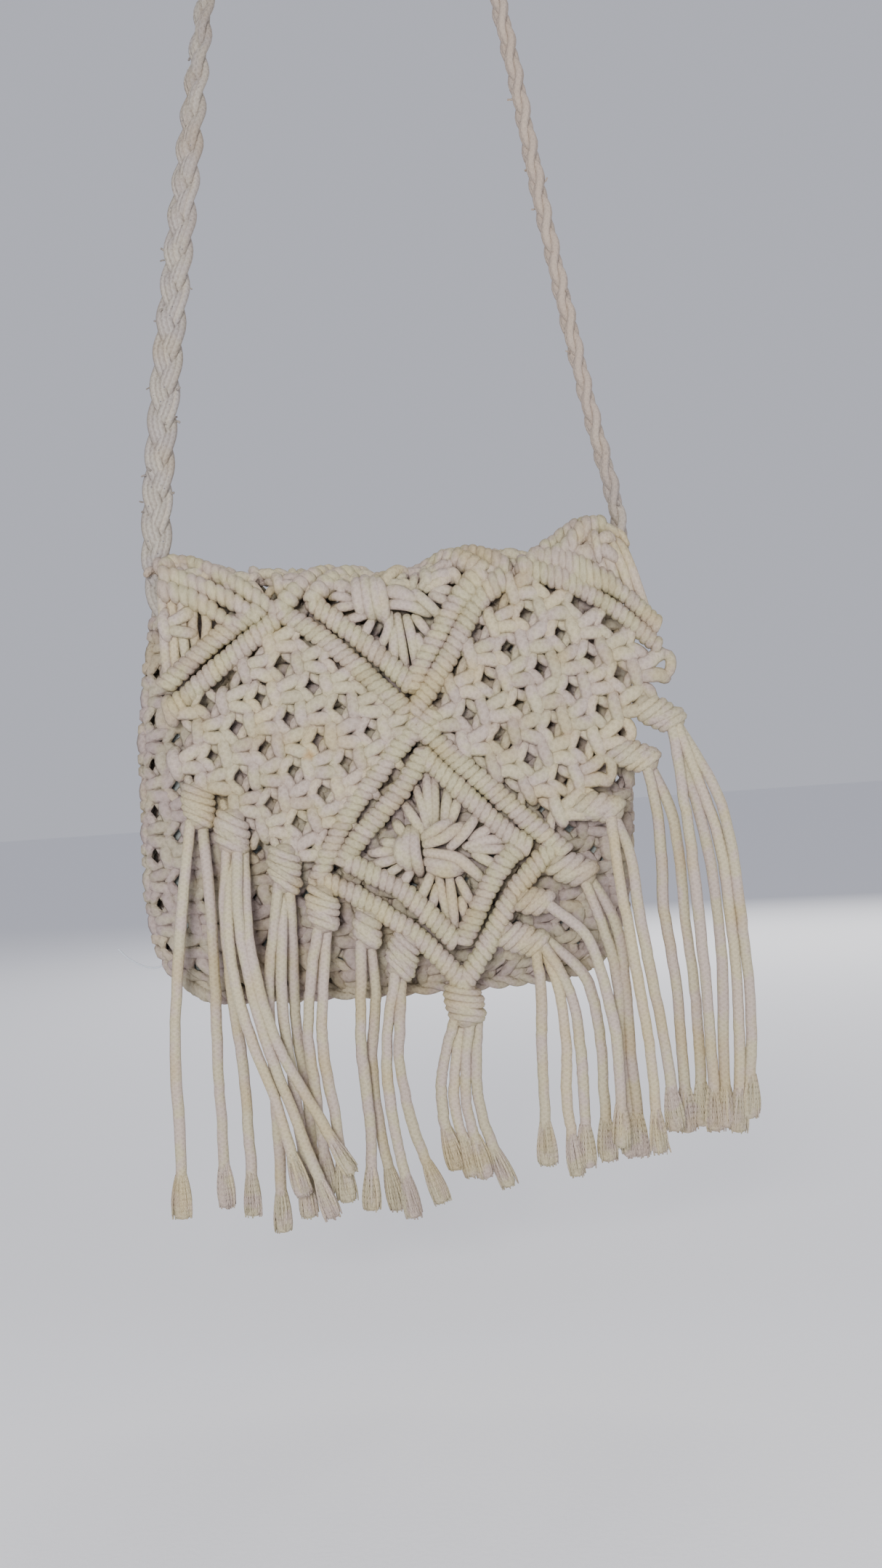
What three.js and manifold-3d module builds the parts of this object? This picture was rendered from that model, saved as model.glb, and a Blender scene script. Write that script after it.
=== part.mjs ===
// A small crossbody bag knotted in 5 mm cotton cord and hung by its strap.
// A lined pouch of square-knot net has a fold-over flap, patterned with diagonal bars and
// star knots, with thirteen gathered tassels along its pointed edge and one braided strap.
// Units are millimetres: +X to the viewer's right, -Y towards the viewer, +Z up.
// The bag group's own zero is the mouth line; the hang point is the top group's zero.

import * as THREE from 'three';
import { mergeVertices } from 'three/addons/utils/BufferGeometryUtils.js';
import Module from 'manifold-3d';

const wasm = await Module();
wasm.setup();

// Driving dimensions
const CORD = 4.8;
const GAP = 0.3;
const STAR_GAP = 0.55;
const HANG_X = -4.6;
const HANG_DROP = 502;

const MOUTH = -12;
const WALL = 5;
const LINING = 1.2;
const LINING_GAP = 0.35;
const POUCH_SIDES = 18;
const CORNER_POWER = 3;

const CLOTH = 5;
const BAR_WIDTH = 7.6;
const BAR_RISE = 2.6;
const FOLD_FOOT = -13;
const FOLD_CENTRE_Y = -1.5;
const FOLD_HALF_DEPTH = 11.5;
const FOLD_REACH = 12;
const FOLD_CREASES = 5;
const FLAP_BACK = 36;

const STRAP_WIDTH = 12.8;
const STRAP_THICK = 8;
const STRAP_BEND = 9;

// The pouch from its mouth down: height, left and right edge, front and back face
const POUCH_SECTIONS = [
  { z: -12, left: -98, right: 87, front: -8, back: 13 },
  { z: -30, left: -102, right: 88, front: -11, back: 13.5 },
  { z: -60, left: -105.5, right: 87.5, front: -14, back: 14 },
  { z: -90, left: -106.5, right: 86.5, front: -15, back: 14 },
  { z: -120, left: -107.4, right: 84.5, front: -15, back: 14 },
  { z: -140, left: -105.5, right: 81, front: -13, back: 13.5 },
  { z: -150, left: -102, right: 77, front: -11, back: 12.5 },
  { z: -156, left: -97, right: 72, front: -9, back: 11.5 },
  { z: -161, left: -89, right: 64, front: -6, back: 10 },
  { z: -164, left: -81, right: 56, front: -2.5, back: 7 },
];

// The flap's front, which leans out over the pouch: height below the fold's foot, and depth
const FLAP_FRONT = [
  { height: 0, y: -13 },
  { height: -32, y: -17.8 },
  { height: -160, y: -19 },
];

// The pouch's net: rows of gaps, each row half a step along from the last
const POUCH_GAP_ROWS = [-59, -99, -129];
const POUCH_GAP_FIRST = -76.6;
const POUCH_GAP_STEP = 20;

// The crest of the fold, which sags in the middle and stands up at the corners
const FOLD_CREST = [
  { x: -92, z: 9.5 },
  { x: -50, z: 2.5 },
  { x: 3, z: -1.5 },
  { x: 22, z: 4 },
  { x: 54, z: 4 },
  { x: 75, z: 13 },
  { x: 92, z: 8 },
];

// The flap's free edge in front view, from the left side round the point to the right side
const FLAP_EDGE = [
  [-91.5, -41], [-92, -58], [-88, -75], [-82, -83], [-75, -87], [-69, -94], [-58, -102],
  [-51, -109], [-44, -114], [-40, -121], [-36, -126], [-21, -136], [-8, -146], [4, -156],
  [11, -164], [19, -164], [27, -149], [34, -142], [40, -131], [50, -119], [59, -117],
  [63, -106], [66, -96], [74, -91], [81, -77], [88, -71], [92, -60], [99, -50], [101, -34],
  [97, -26],
];

// Pairs of diagonal bars, by the points that their middle lines pass through
const BARS = [
  [[-91, 3], [-72, 1], [-47, -15.5]],
  [[-91, -1], [-72, -5.5], [-54, -18]],
  [[-56, -15.8], [-76.8, -28.2], [-91, -47.5]],
  [[-50.5, -17.5], [-73.6, -35.6], [-88, -53.5]],
  [[-45.5, -14.8], [-21, -35.9], [0.5, -56.5]],
  [[-32.5, -13], [1.8, -45.5]],
  [[2.8, -45.8], [19.8, -19.3], [31.8, -7]],
  [[3, -56.5], [18.9, -34.9], [40, -10]],
  [[9.7, -59.2], [-13.6, -80], [-31, -103], [-37, -116]],
  [[5.9, -72], [-12, -93.8], [-27.5, -112.5]],
  [[3, -60], [20.8, -79.2], [50.9, -104], [58, -114]],
  [[5.9, -73], [27.4, -96], [42, -108]],
  [[56, -114], [34.3, -132], [15, -161]],
  [[42, -110], [23.7, -131.2], [13, -146.5]],
  [[-37, -118.5], [-6.2, -139.2], [15, -161]],
  [[-27.5, -113.8], [-1, -130], [13, -145]],
  [[50, -7], [78.3, -19.9], [98, -38]],
  [[56, -1.6], [83.1, -14.2], [99, -31]],
];

// Bars that climb over the fold, by their foot in front view and their head past the crest
const CLIMBING_BARS = [
  { from: [-45.3, -13.8], over: [-20, 24] },
  { from: [-33.5, -11.5], over: [-14, 20] },
  { from: [44, -5], over: [14, 26] },
  { from: [33.5, -6], over: [4, 24] },
  { from: [50, -4], over: [78, 22] },
  { from: [60, -2.5], over: [82, 16] },
];

// Net: where its first hole lies, the steps to the next hole and the next row, and which
// holes each row has
const NETS = [
  {
    first: [-45.5, -35.7],
    step: [10.5, -9.1],
    row: [-9.7, -11],
    holes: [
      { row: -1, from: 0, to: 2 },
      { row: 0, from: -1, to: 3 },
      { row: 1, from: -1, to: 3 },
      { row: 2, from: -1, to: 3 },
      { row: 3, from: 0, to: 3 },
    ],
  },
  {
    first: [49.7, -22],
    step: [11.35, -8.9],
    row: [-8.4, -12.6],
    holes: [
      { row: -1, from: 0, to: 2 },
      { row: 0, from: -1, to: 3 },
      { row: 1, from: -1, to: 3 },
      { row: 2, from: -1, to: 3 },
      { row: 3, from: -1, to: 2 },
      { row: 4, from: 1, to: 2 },
    ],
  },
];
const HOLE_HALF_WIDTH = 1.5;
const HOLE_HALF_HEIGHT = 2.2;

// Star knots: the opening that each fills, its middle, its rays, and its knot's lobe
const STARS = [
  {
    name: 'star_knot_lower',
    corners: [[6.5, -79], [37.5, -110], [13, -141], [-19, -112]],
    middle: [8, -110],
    rays: 16,
    armWidth: 7,
    lobe: { at: [-4, -110], width: 10, height: 17 },
    arms: [[[-1, -107], [17, -101]], [[1, -113], [16, -117]]],
  },
  {
    name: 'star_knot_upper',
    corners: [[-28, -11.5], [-7, 22], [24, -7], [2, -39.5]],
    middle: [0, -9],
    rays: 12,
    armWidth: 6,
    lobe: { at: [-10, -11.5], width: 7.5, height: 14 },
    arms: [[[-7, -10], [12, -12]], [[-6, -15], [8, -19]]],
  },
  {
    name: 'star_knot_left',
    corners: [[-92.3, -5], [-74, -17.5], [-92.3, -41]],
    middle: [-86, -20],
    rays: 8,
    armWidth: 4,
    lobe: { at: [-88.5, -19], width: 4, height: 9 },
    arms: [[[-88, -17], [-80, -17.5]], [[-88, -21.5], [-81, -22]]],
  },
  {
    name: 'star_knot_right',
    corners: [[69, -2], [80, 14], [90, -1.5], [98, -24.5]],
    middle: [84, -4],
    rays: 8,
    armWidth: 4,
    lobe: { at: [81, -1], width: 5, height: 6 },
    arms: [[[82, 0], [88, -3]], [[82, -3], [89, -8]]],
  },
];

// Tassels: where the gathering knot is, its size along and across its axis, how far the axis
// turns from straight down, how far forward it hangs, and its cords' routes in front view.
// A cord's lane is how far forward it hangs below its knot.
const TASSELS = [
  {
    at: [-81.9, -87], long: 13.9, wide: 12.5, turn: -3, y: -19.2,
    cords: [
      { lane: -24, route: [[-85, -93], [-90, -124], [-96, -167], [-97, -212], [-98, -243]] },
      { lane: -24, route: [[-81, -93], [-80, -124], [-80, -160], [-81, -200], [-81, -240]] },
    ],
  },
  {
    at: [-69.7, -98], long: 13.3, wide: 13.5, turn: -8, y: -20.4,
    cords: [
      { lane: -24, route: [[-72, -104], [-74, -127], [-73.5, -155], [-71, -192], [-71, -244]] },
      { lane: -31, route: [[-70, -104], [-72, -136], [-69, -166], [-59, -200], [-51, -236]] },
      { lane: -31, route: [[-68, -104], [-68, -133], [-62, -172], [-52, -206], [-40, -245]] },
      { lane: -31, route: [[-66, -104], [-65, -139], [-58, -174], [-44, -205], [-32, -229]] },
    ],
  },
  {
    at: [-50.5, -113.4], long: 14.5, wide: 12.8, turn: -4, y: -21.8,
    cords: [
      { lane: -24, route: [[-53, -119], [-56, -136], [-60, -165], [-60, -205], [-60, -251]] },
      { lane: -24, route: [[-51, -119], [-53, -140], [-54, -165], [-52, -200], [-50, -246]] },
      { lane: -18.3, route: [[-49, -119], [-50, -144], [-51, -175], [-48, -205], [-47, -240]] },
    ],
  },
  {
    at: [-37, -129.6], long: 14.2, wide: 12.5, turn: -4, y: -21.8,
    cords: [
      { lane: -24, route: [[-39, -137], [-43, -155], [-45.5, -178], [-43.5, -208], [-42, -238]] },
      { lane: -24, route: [[-36, -137], [-38, -155], [-40, -180], [-37, -213], [-35, -241]] },
    ],
  },
  {
    at: [-20.5, -138.6], long: 11, wide: 11, turn: -10, y: -21.6,
    cords: [
      { lane: -24, route: [[-23, -143], [-24, -158], [-26, -185], [-25, -215], [-26, -245]] },
      { lane: -18.3, route: [[-20, -143], [-19, -163], [-22, -188], [-21, -216], [-16, -247]] },
    ],
  },
  {
    at: [-7.9, -149.6], long: 13.3, wide: 12.6, turn: -22, y: -21,
    cords: [
      { lane: -24, route: [[-10.5, -154], [-14, -170], [-16.5, -190], [-15, -216], [-10, -249]] },
      { lane: -24, route: [[-8.5, -155], [-10.5, -171], [-12, -192], [-6.5, -220], [1, -244]] },
    ],
  },
  {
    at: [14.5, -169.8], long: 13.8, wide: 14.5, turn: 4, y: -18.5,
    cords: [
      { lane: -18.5, route: [[11, -174], [6, -187], [3, -201], [4, -216], [8, -233]] },
      { lane: -18.5, route: [[14, -174], [10, -189], [8, -205], [10, -220], [13, -236]] },
      { lane: -18.5, route: [[16, -174], [14, -189], [12.5, -205], [14.5, -220], [18, -237]] },
      { lane: -18.5, route: [[19, -174], [17, -192], [17, -207], [21, -224], [27, -241]] },
    ],
  },
  {
    at: [38.6, -146.8], long: 15.5, wide: 11.6, turn: 66, y: -19.5,
    cords: [
      { lane: -22, route: [[43, -149], [43.5, -166], [42.5, -186], [42, -208], [42, -233]] },
      { lane: -22, route: [[45, -148.5], [50, -166], [51.5, -188], [51, -211], [53, -238]] },
      { lane: -22, route: [[45, -147], [55, -168], [57, -189], [57, -211], [57, -235]] },
      { lane: -22, route: [[45, -145], [61, -163], [65, -187], [65, -208], [65, -233]] },
    ],
  },
  {
    at: [43.9, -132.5], long: 10.8, wide: 10.6, turn: 72, y: -21.4,
    cords: [
      { lane: -28, route: [[47, -132.5], [61, -146], [67, -165], [70.5, -188], [70, -227]] },
    ],
  },
  {
    at: [59.2, -121.4], long: 14, wide: 12.4, turn: 60, y: -20.6,
    cords: [
      { lane: -22, route: [[63, -125], [69, -145], [73, -165], [73, -195], [74, -232]] },
      { lane: -22, route: [[64, -122], [74, -142], [77, -165], [77, -195], [78, -232]] },
    ],
  },
  {
    at: [70.8, -98.3], long: 15.6, wide: 11.2, turn: 70, y: -19.5,
    cords: [
      { lane: -28, route: [[75, -100.5], [75, -118], [78, -142], [82, -178], [84, -230]] },
      { lane: -28, route: [[76, -100], [81, -118], [84, -149], [88, -180], [91, -222]] },
    ],
  },
  {
    at: [85.6, -79.6], long: 15.8, wide: 11.6, turn: 62, y: -18.5,
    cords: [
      { lane: -22, route: [[90, -83], [93, -107], [93.5, -140], [96, -175], [96, -224]] },
      { lane: -22, route: [[91, -81.5], [98.5, -107], [100, -142], [102, -177], [102, -222]] },
    ],
  },
  {
    at: [96.5, -64.4], long: 16.4, wide: 11.8, turn: 55, y: -18.5,
    cords: [
      { lane: -28, route: [[101, -68], [104, -110], [105.5, -152], [106, -187], [106, -223]] },
      { lane: -28, route: [[101.5, -67.5], [109, -112], [112, -152], [111, -187], [110, -222]] },
      { lane: -28, route: [[102, -67], [113.5, -112], [117, -157], [117, -190], [114, -224]] },
      { lane: -28, route: [[102.5, -66.5], [117, -103], [121.5, -155], [121.5, -187], [118, -219]] },
    ],
  },
];
const CORD_SIDES = 4;
const CORD_STEPS = 4;
const FRAY_LENGTH = 15;
const FRAY_WIDTH = 7.6;

// The strap's two legs in front view, from the mouth up to where they meet the bend
const STRAP_LEFT = [[-92.5, MOUTH + GAP], [-94.2, 16], [-86.6, 77], [-69.8, 175], [-42, 330]];
const STRAP_RIGHT = [[86.8, MOUTH + GAP], [88.2, 14.8], [78.8, 66], [67, 139], [56.8, 212], [34.5, 340]];
const STRAP_TURN_ENDS = 330;
const STRAP_STATIONS = 11;
const BEND_STATIONS = 5;
const STRAP_SIDES = 8;

// Materials
const cotton = { roughness: 0.95, metalness: 0 };
const creamCotton = new THREE.MeshStandardMaterial({ color: 0xc9c2b2, ...cotton });
const knotCotton = new THREE.MeshStandardMaterial({ color: 0xcfc8ba, ...cotton });
const strapCotton = new THREE.MeshStandardMaterial({ color: 0xbfb7a2, ...cotton });
const liningCloth = new THREE.MeshStandardMaterial({ color: 0x858a84, ...cotton });

// Solids and meshes
function toSolid(geometry) {
  const bare = new THREE.BufferGeometry();
  bare.setAttribute('position', geometry.getAttribute('position').clone());
  if (geometry.index) bare.setIndex(geometry.index.clone());
  const welded = mergeVertices(bare, 1e-4);
  return new wasm.Manifold(new wasm.Mesh({
    numProp: 3,
    vertProperties: new Float32Array(welded.attributes.position.array),
    triVerts: new Uint32Array(welded.index.array),
  }));
}

function toGeometry(solid) {
  const mesh = solid.getMesh();
  const geometry = new THREE.BufferGeometry();
  geometry.setAttribute('position', new THREE.BufferAttribute(mesh.vertProperties, 3));
  geometry.setIndex(new THREE.BufferAttribute(mesh.triVerts, 1));
  geometry.computeVertexNormals();
  return geometry;
}

function named(name, solid, material) {
  const mesh = new THREE.Mesh(toGeometry(solid), material);
  mesh.name = name;
  return mesh;
}

// One closed skin through a row of rings with the same number of points, capped at both ends
function loft(rings) {
  const count = rings[0].length;
  const positions = rings.flat().flatMap((point) => [point.x, point.y, point.z]);
  const faces = [];
  for (let ring = 0; ring + 1 < rings.length; ring += 1) {
    for (let side = 0; side < count; side += 1) {
      const a = ring * count + side;
      const b = ring * count + ((side + 1) % count);
      faces.push(a, b, b + count, a, b + count, a + count);
    }
  }
  const last = (rings.length - 1) * count;
  for (let side = 1; side + 1 < count; side += 1) {
    faces.push(0, side + 1, side);
    faces.push(last, last + side, last + side + 1);
  }
  const geometry = new THREE.BufferGeometry();
  geometry.setAttribute('position', new THREE.Float32BufferAttribute(positions, 3));
  geometry.setIndex(signedVolume(positions, faces) < 0 ? faces.toReversed() : faces);
  return geometry;
}

function signedVolume(positions, faces) {
  const corner = (index) => new THREE.Vector3().fromArray(positions, index * 3);
  let volume = 0;
  for (let face = 0; face < faces.length; face += 3) {
    const [a, b, c] = [corner(faces[face]), corner(faces[face + 1]), corner(faces[face + 2])];
    volume += a.dot(b.cross(c)) / 6;
  }
  return volume;
}

// A value read off a table at a place between its rows
function between(rows, along, place, read) {
  const next = rows.findIndex((row) => along(row) >= place);
  if (next < 0) return read(rows.at(-1));
  if (next === 0) return read(rows[0]);
  const [low, high] = [rows[next - 1], rows[next]];
  const share = (place - along(low)) / (along(high) - along(low));
  return THREE.MathUtils.lerp(read(low), read(high), share);
}

// Pouch and lining: rounded-rectangle rings
function pouchRing(z, inset) {
  const rows = POUCH_SECTIONS;
  const read = (key) => between(rows, (row) => -row.z, -z, (row) => row[key]);
  const [left, right, front, back] = [read('left'), read('right'), read('front'), read('back')];
  const halfWidth = (right - left) / 2 - inset;
  const halfDepth = (back - front) / 2 - inset;
  const bend = (value) => Math.sign(value) * Math.abs(value) ** (2 / CORNER_POWER);
  return Array.from({ length: POUCH_SIDES }, (_, side) => {
    const angle = (2 * Math.PI * (side + 0.5)) / POUCH_SIDES;
    return new THREE.Vector3(
      (left + right) / 2 + halfWidth * bend(Math.cos(angle)),
      (front + back) / 2 + halfDepth * bend(Math.sin(angle)),
      z,
    );
  });
}

const FLOOR = -156;
const sectionHeights = POUCH_SECTIONS.map((row) => row.z);
const hollowHeights = [MOUTH, -30, -60, -120, -150, FLOOR];

function netGap(x, z, halfWidth, halfHeight, depth) {
  const outline = new THREE.Shape([
    new THREE.Vector2(x - halfWidth, z),
    new THREE.Vector2(x, z - halfHeight),
    new THREE.Vector2(x + halfWidth, z),
    new THREE.Vector2(x, z + halfHeight),
  ]);
  const prism = new THREE.ExtrudeGeometry(outline, { depth: depth * 2, bevelEnabled: false });
  prism.translate(0, 0, -depth);
  prism.rotateX(Math.PI / 2);
  return toSolid(prism);
}

function makePouch() {
  const outside = sectionHeights.toReversed().map((z) => pouchRing(z, 0));
  const inside = hollowHeights.map((z) => pouchRing(z, WALL));
  let body = toSolid(loft([...outside, ...inside]));
  POUCH_GAP_ROWS.forEach((z, row) => {
    for (let x = POUCH_GAP_FIRST + (row % 2) * POUCH_GAP_STEP / 2; x < 70; x += POUCH_GAP_STEP) {
      body = body.subtract(netGap(x, z, 2, 3, 30));
    }
  });
  return named('pouch', body, creamCotton);
}

function makeLining() {
  const outsideInset = WALL + LINING_GAP;
  const insideInset = outsideInset + LINING;
  const floor = FLOOR + LINING_GAP;
  const rim = MOUTH - 2;
  const middle = hollowHeights.filter((z) => z < rim && z > floor + LINING);
  const outside = [floor, ...middle.toReversed(), rim].map((z) => pouchRing(z, outsideInset));
  const inside = [rim, ...middle, floor + LINING].map((z) => pouchRing(z, insideInset));
  return named('lining', toSolid(loft([...outside, ...inside].toReversed())), liningCloth);
}

// The flap's cloth is laid out flat as x, height over the fold's foot, and thickness, then
// bent over the fold. Heights below zero hang down the front.
function foldRise(x) {
  return between(FOLD_CREST, (row) => row.x, x, (row) => row.z) - FOLD_FOOT - CLOTH / 2;
}

function flatHeight([x, z]) {
  if (z <= FOLD_FOOT) return z - FOLD_FOOT;
  return FOLD_REACH * Math.asin(Math.min(1, (z - FOLD_FOOT) / foldRise(x)));
}

function flatPoint([x, z]) {
  return new THREE.Vector2(x, flatHeight([x, z]));
}

function frontDepth(height) {
  return between(FLAP_FRONT, (row) => -row.height, -height, (row) => row.y);
}

function bendOverFold([x, height, out]) {
  if (height <= 0) return new THREE.Vector3(x, frontDepth(height) - out, FOLD_FOOT + height);
  const angle = height / FOLD_REACH;
  const rise = foldRise(x);
  const normal = new THREE.Vector2(-Math.cos(angle) / FOLD_HALF_DEPTH, Math.sin(angle) / rise);
  normal.normalize().multiplyScalar(out);
  return new THREE.Vector3(
    x,
    FOLD_CENTRE_Y - FOLD_HALF_DEPTH * Math.cos(angle) + normal.x,
    FOLD_FOOT + rise * Math.sin(angle) + normal.y,
  );
}

// Splits the triangles of a flat sheet along a line, so that it can bend there
function crease(sheet, axis, place) {
  const middles = new Map();
  const middleOf = (from, to) => {
    const [low, high] = from < to ? [from, to] : [to, from];
    const [p, q] = [sheet.points[low], sheet.points[high]];
    const [before, after] = [p[axis] - place, q[axis] - place];
    const near = Math.min(Math.abs(before), Math.abs(after)) < 0.01;
    if (near || before * after > 0) return -1;
    const key = `${low},${high}`;
    if (!middles.has(key)) {
      const share = before / (before - after);
      sheet.points.push(p.map((value, index) => THREE.MathUtils.lerp(value, q[index], share)));
      middles.set(key, sheet.points.length - 1);
    }
    return middles.get(key);
  };
  const faces = [];
  for (const face of sheet.faces) {
    const split = [0, 1, 2].map((side) => middleOf(face[side], face[(side + 1) % 3]));
    const open = split.filter((middle) => middle >= 0).length;
    if (open === 0) {
      faces.push(face);
    } else if (open === 1) {
      const side = split.findIndex((middle) => middle >= 0);
      const [a, b, c] = [face[side], face[(side + 1) % 3], face[(side + 2) % 3]];
      faces.push([a, split[side], c], [split[side], b, c]);
    } else {
      const whole = split.findIndex((middle) => middle < 0);
      const [a, b, c] = [face[whole], face[(whole + 1) % 3], face[(whole + 2) % 3]];
      const [bc, ca] = [split[(whole + 1) % 3], split[(whole + 2) % 3]];
      faces.push([ca, bc, c], [a, b, bc], [a, bc, ca]);
    }
  }
  sheet.faces = faces;
}

// Bends a flat solid: what lies above the fold's foot goes over the fold, the rest hangs
function bend(flatSolid) {
  const aboveFoot = new THREE.BoxGeometry(400, 200, 40);
  aboveFoot.translate(0, 100, 0);
  const above = toSolid(aboveFoot);
  const front = bendPart(flatSolid.subtract(above), FLAP_FRONT.map((row) => row.height));
  const over = flatSolid.intersect(above);
  if (over.numTri() === 0) return front;
  const steps = Array.from({ length: FOLD_CREASES - 1 }, (_, step) => step + 1);
  const heights = steps.map((step) => (step * Math.PI * FOLD_REACH) / FOLD_CREASES);
  return front.add(bendPart(over, heights, FOLD_CREST.map((row) => row.x)));
}

function bendPart(flatSolid, heights, widths = []) {
  const mesh = flatSolid.getMesh();
  const sheet = { points: [], faces: [] };
  for (let index = 0; index < mesh.vertProperties.length; index += 3) {
    sheet.points.push(Array.from(mesh.vertProperties.slice(index, index + 3)));
  }
  for (let index = 0; index < mesh.triVerts.length; index += 3) {
    sheet.faces.push(Array.from(mesh.triVerts.slice(index, index + 3)));
  }
  for (const height of heights) crease(sheet, 1, height);
  for (const width of widths) crease(sheet, 0, width);
  const geometry = new THREE.BufferGeometry().setFromPoints(sheet.points.map(bendOverFold));
  geometry.setIndex(sheet.faces.flat());
  return toSolid(geometry);
}

// A flat piece of cloth with the given outline and holes, centred on its own thickness
function flatCloth(outline, holes = []) {
  const shape = new THREE.Shape(outline);
  shape.holes = holes.map((hole) => new THREE.Path(hole));
  const slab = new THREE.ExtrudeGeometry(shape, { depth: CLOTH, bevelEnabled: false });
  slab.translate(0, 0, -CLOTH / 2);
  return toSolid(slab);
}

// A raised bar along a line on the flat cloth, with sides that slope in to a narrower top
function flatBar(line, width, rise, { foot = 0, topShare = 0.6 } = {}) {
  const rings = line.map((point, index) => {
    const before = line[Math.max(0, index - 1)];
    const after = line[Math.min(line.length - 1, index + 1)];
    const along = after.clone().sub(before).normalize();
    const across = new THREE.Vector2(-along.y, along.x);
    const corner = (side, out) => new THREE.Vector3(
      point.x + across.x * side,
      point.y + across.y * side,
      out,
    );
    const top = CLOTH / 2 + rise;
    return [
      corner(-width / 2, foot),
      corner((-width / 2) * topShare, top),
      corner((width / 2) * topShare, top),
      corner(width / 2, foot),
    ];
  });
  return toSolid(loft(rings));
}

function barLines() {
  const climbing = CLIMBING_BARS.map(({ from, over }) => [flatPoint(from), new THREE.Vector2(...over)]);
  return [...BARS.map((bar) => bar.map(flatPoint)), ...climbing];
}

// A star knot's cloth: rays that reach its opening's sides, parted by notches
function flatStar(star) {
  const corners = starCorners(star);
  const middle = flatPoint(star.middle);
  const sides = corners.map((corner, index) => {
    const along = corners[(index + 1) % corners.length].clone().sub(corner).normalize();
    const outward = new THREE.Vector2(along.y, -along.x);
    const distance = corner.clone().sub(middle).dot(outward);
    return distance > 0 ? { outward, distance } : { outward: outward.negate(), distance: -distance };
  });
  const reach = (direction) => Math.min(...sides
    .filter((side) => side.outward.dot(direction) > 0.01)
    .map((side) => (side.distance - STAR_GAP) / side.outward.dot(direction)));
  const ray = (angle, share) => {
    const direction = new THREE.Vector2(Math.cos(angle), Math.sin(angle));
    return middle.clone().add(direction.clone().multiplyScalar(reach(direction) * share));
  };
  const outline = [];
  const turn = (2 * Math.PI) / star.rays;
  for (let index = 0; index < star.rays; index += 1) {
    const angle = index * turn;
    outline.push(ray(angle - 0.3 * turn, 1), ray(angle + 0.3 * turn, 1), ray(angle + 0.5 * turn, 0.6));
  }
  let knot = flatCloth(outline);
  for (const arm of star.arms) knot = knot.add(flatBar(arm.map(flatPoint), star.armWidth, 2.2));
  const { at, width, height } = star.lobe;
  const lobe = [flatPoint([at[0], at[1] + height / 2]), flatPoint([at[0], at[1] - height / 2])];
  knot = knot.add(flatBar(lobe, width, 3.2));
  const clearance = { foot: -CLOTH, topShare: 1 };
  for (const line of barLines()) {
    knot = knot.subtract(flatBar(line, BAR_WIDTH + 2 * STAR_GAP, BAR_RISE + GAP, clearance));
  }
  return knot;
}

function starCorners(star) {
  return star.corners.map(([x, z]) => (z > 5 ? new THREE.Vector2(x, z) : flatPoint([x, z])));
}

// A gathering knot: a short barrel of wrapped cord, grown by a clearance where asked
function gatheringKnot({ at, long, wide, turn, y }, grown = 0) {
  const half = long / 2 + grown;
  const radius = wide / 2 + grown;
  const profile = [
    new THREE.Vector2(0, -half),
    new THREE.Vector2(radius * 0.8, -half),
    new THREE.Vector2(radius, 0),
    new THREE.Vector2(radius * 0.8, half),
    new THREE.Vector2(0, half),
  ];
  const barrel = new THREE.LatheGeometry(profile, 8);
  barrel.rotateX(Math.PI / 2);
  barrel.rotateY(THREE.MathUtils.degToRad(-turn));
  barrel.translate(at[0], y, at[1]);
  return toSolid(barrel);
}

// A fringe cord: an even round cord that ends in a flat, frayed brush
function fringeCord(route, knotY, lane) {
  const depths = route.map((_, index) => (index === 0 ? knotY : lane));
  const points = route.map(([x, z], index) => new THREE.Vector3(x, depths[index], z));
  const curve = new THREE.CatmullRomCurve3(points, false, 'centripetal');
  const length = curve.getLength();
  const frayStart = 1 - FRAY_LENGTH / length;
  const places = Array.from({ length: CORD_STEPS }, (_, step) => (frayStart * step) / (CORD_STEPS - 1));
  const stations = [...places, (1 + frayStart) / 2, 1];
  const rings = stations.map((place) => {
    const centre = curve.getPointAt(place);
    const along = curve.getTangentAt(place);
    const sideways = new THREE.Vector3().crossVectors(along, new THREE.Vector3(0, 1, 0)).normalize();
    const forward = new THREE.Vector3().crossVectors(sideways, along);
    const wide = place > frayStart ? FRAY_WIDTH / 2 : CORD / 2;
    return Array.from({ length: CORD_SIDES }, (_, side) => {
      const angle = (2 * Math.PI * side) / CORD_SIDES;
      return centre.clone()
        .addScaledVector(sideways, wide * Math.cos(angle))
        .addScaledVector(forward, (CORD / 2) * Math.sin(angle));
    });
  });
  return toSolid(loft(rings));
}

function makeTassel(tassel, index) {
  let solid = gatheringKnot(tassel);
  for (const cord of tassel.cords) solid = solid.add(fringeCord(cord.route, tassel.y, cord.lane));
  return named(`tassel_${String(index + 1).padStart(2, '0')}`, solid, knotCotton);
}

// The strap: one flat braid that stands edge on at the hang point and on the right, and turns
// flat to the viewer down the left side
function strapCurve() {
  const bendFoot = HANG_DROP - STRAP_BEND + STRAP_THICK / 2;
  const bend = [];
  for (let step = 0; step <= BEND_STATIONS; step += 1) {
    const angle = Math.PI - (Math.PI * step) / BEND_STATIONS;
    bend.push([
      HANG_X + STRAP_BEND * Math.cos(angle),
      bendFoot + STRAP_BEND * Math.sin(angle),
    ]);
  }
  const line = [...STRAP_LEFT, ...bend, ...STRAP_RIGHT.toReversed()];
  const points = line.map(([x, z]) => new THREE.Vector3(x, 0, z));
  return new THREE.CatmullRomCurve3(points, false, 'centripetal');
}

function strapPlaces(curve) {
  const total = curve.getLength();
  const leg = (total - Math.PI * STRAP_BEND) / 2 / total;
  const places = [];
  for (let step = 0; step <= STRAP_STATIONS; step += 1) places.push((leg * step) / STRAP_STATIONS);
  for (let step = 1; step < BEND_STATIONS * 2; step += 1) {
    places.push(leg + ((1 - 2 * leg) * step) / (BEND_STATIONS * 2));
  }
  for (let step = STRAP_STATIONS; step >= 0; step -= 1) {
    places.push(1 - (leg * step) / STRAP_STATIONS);
  }
  return places;
}

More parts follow.
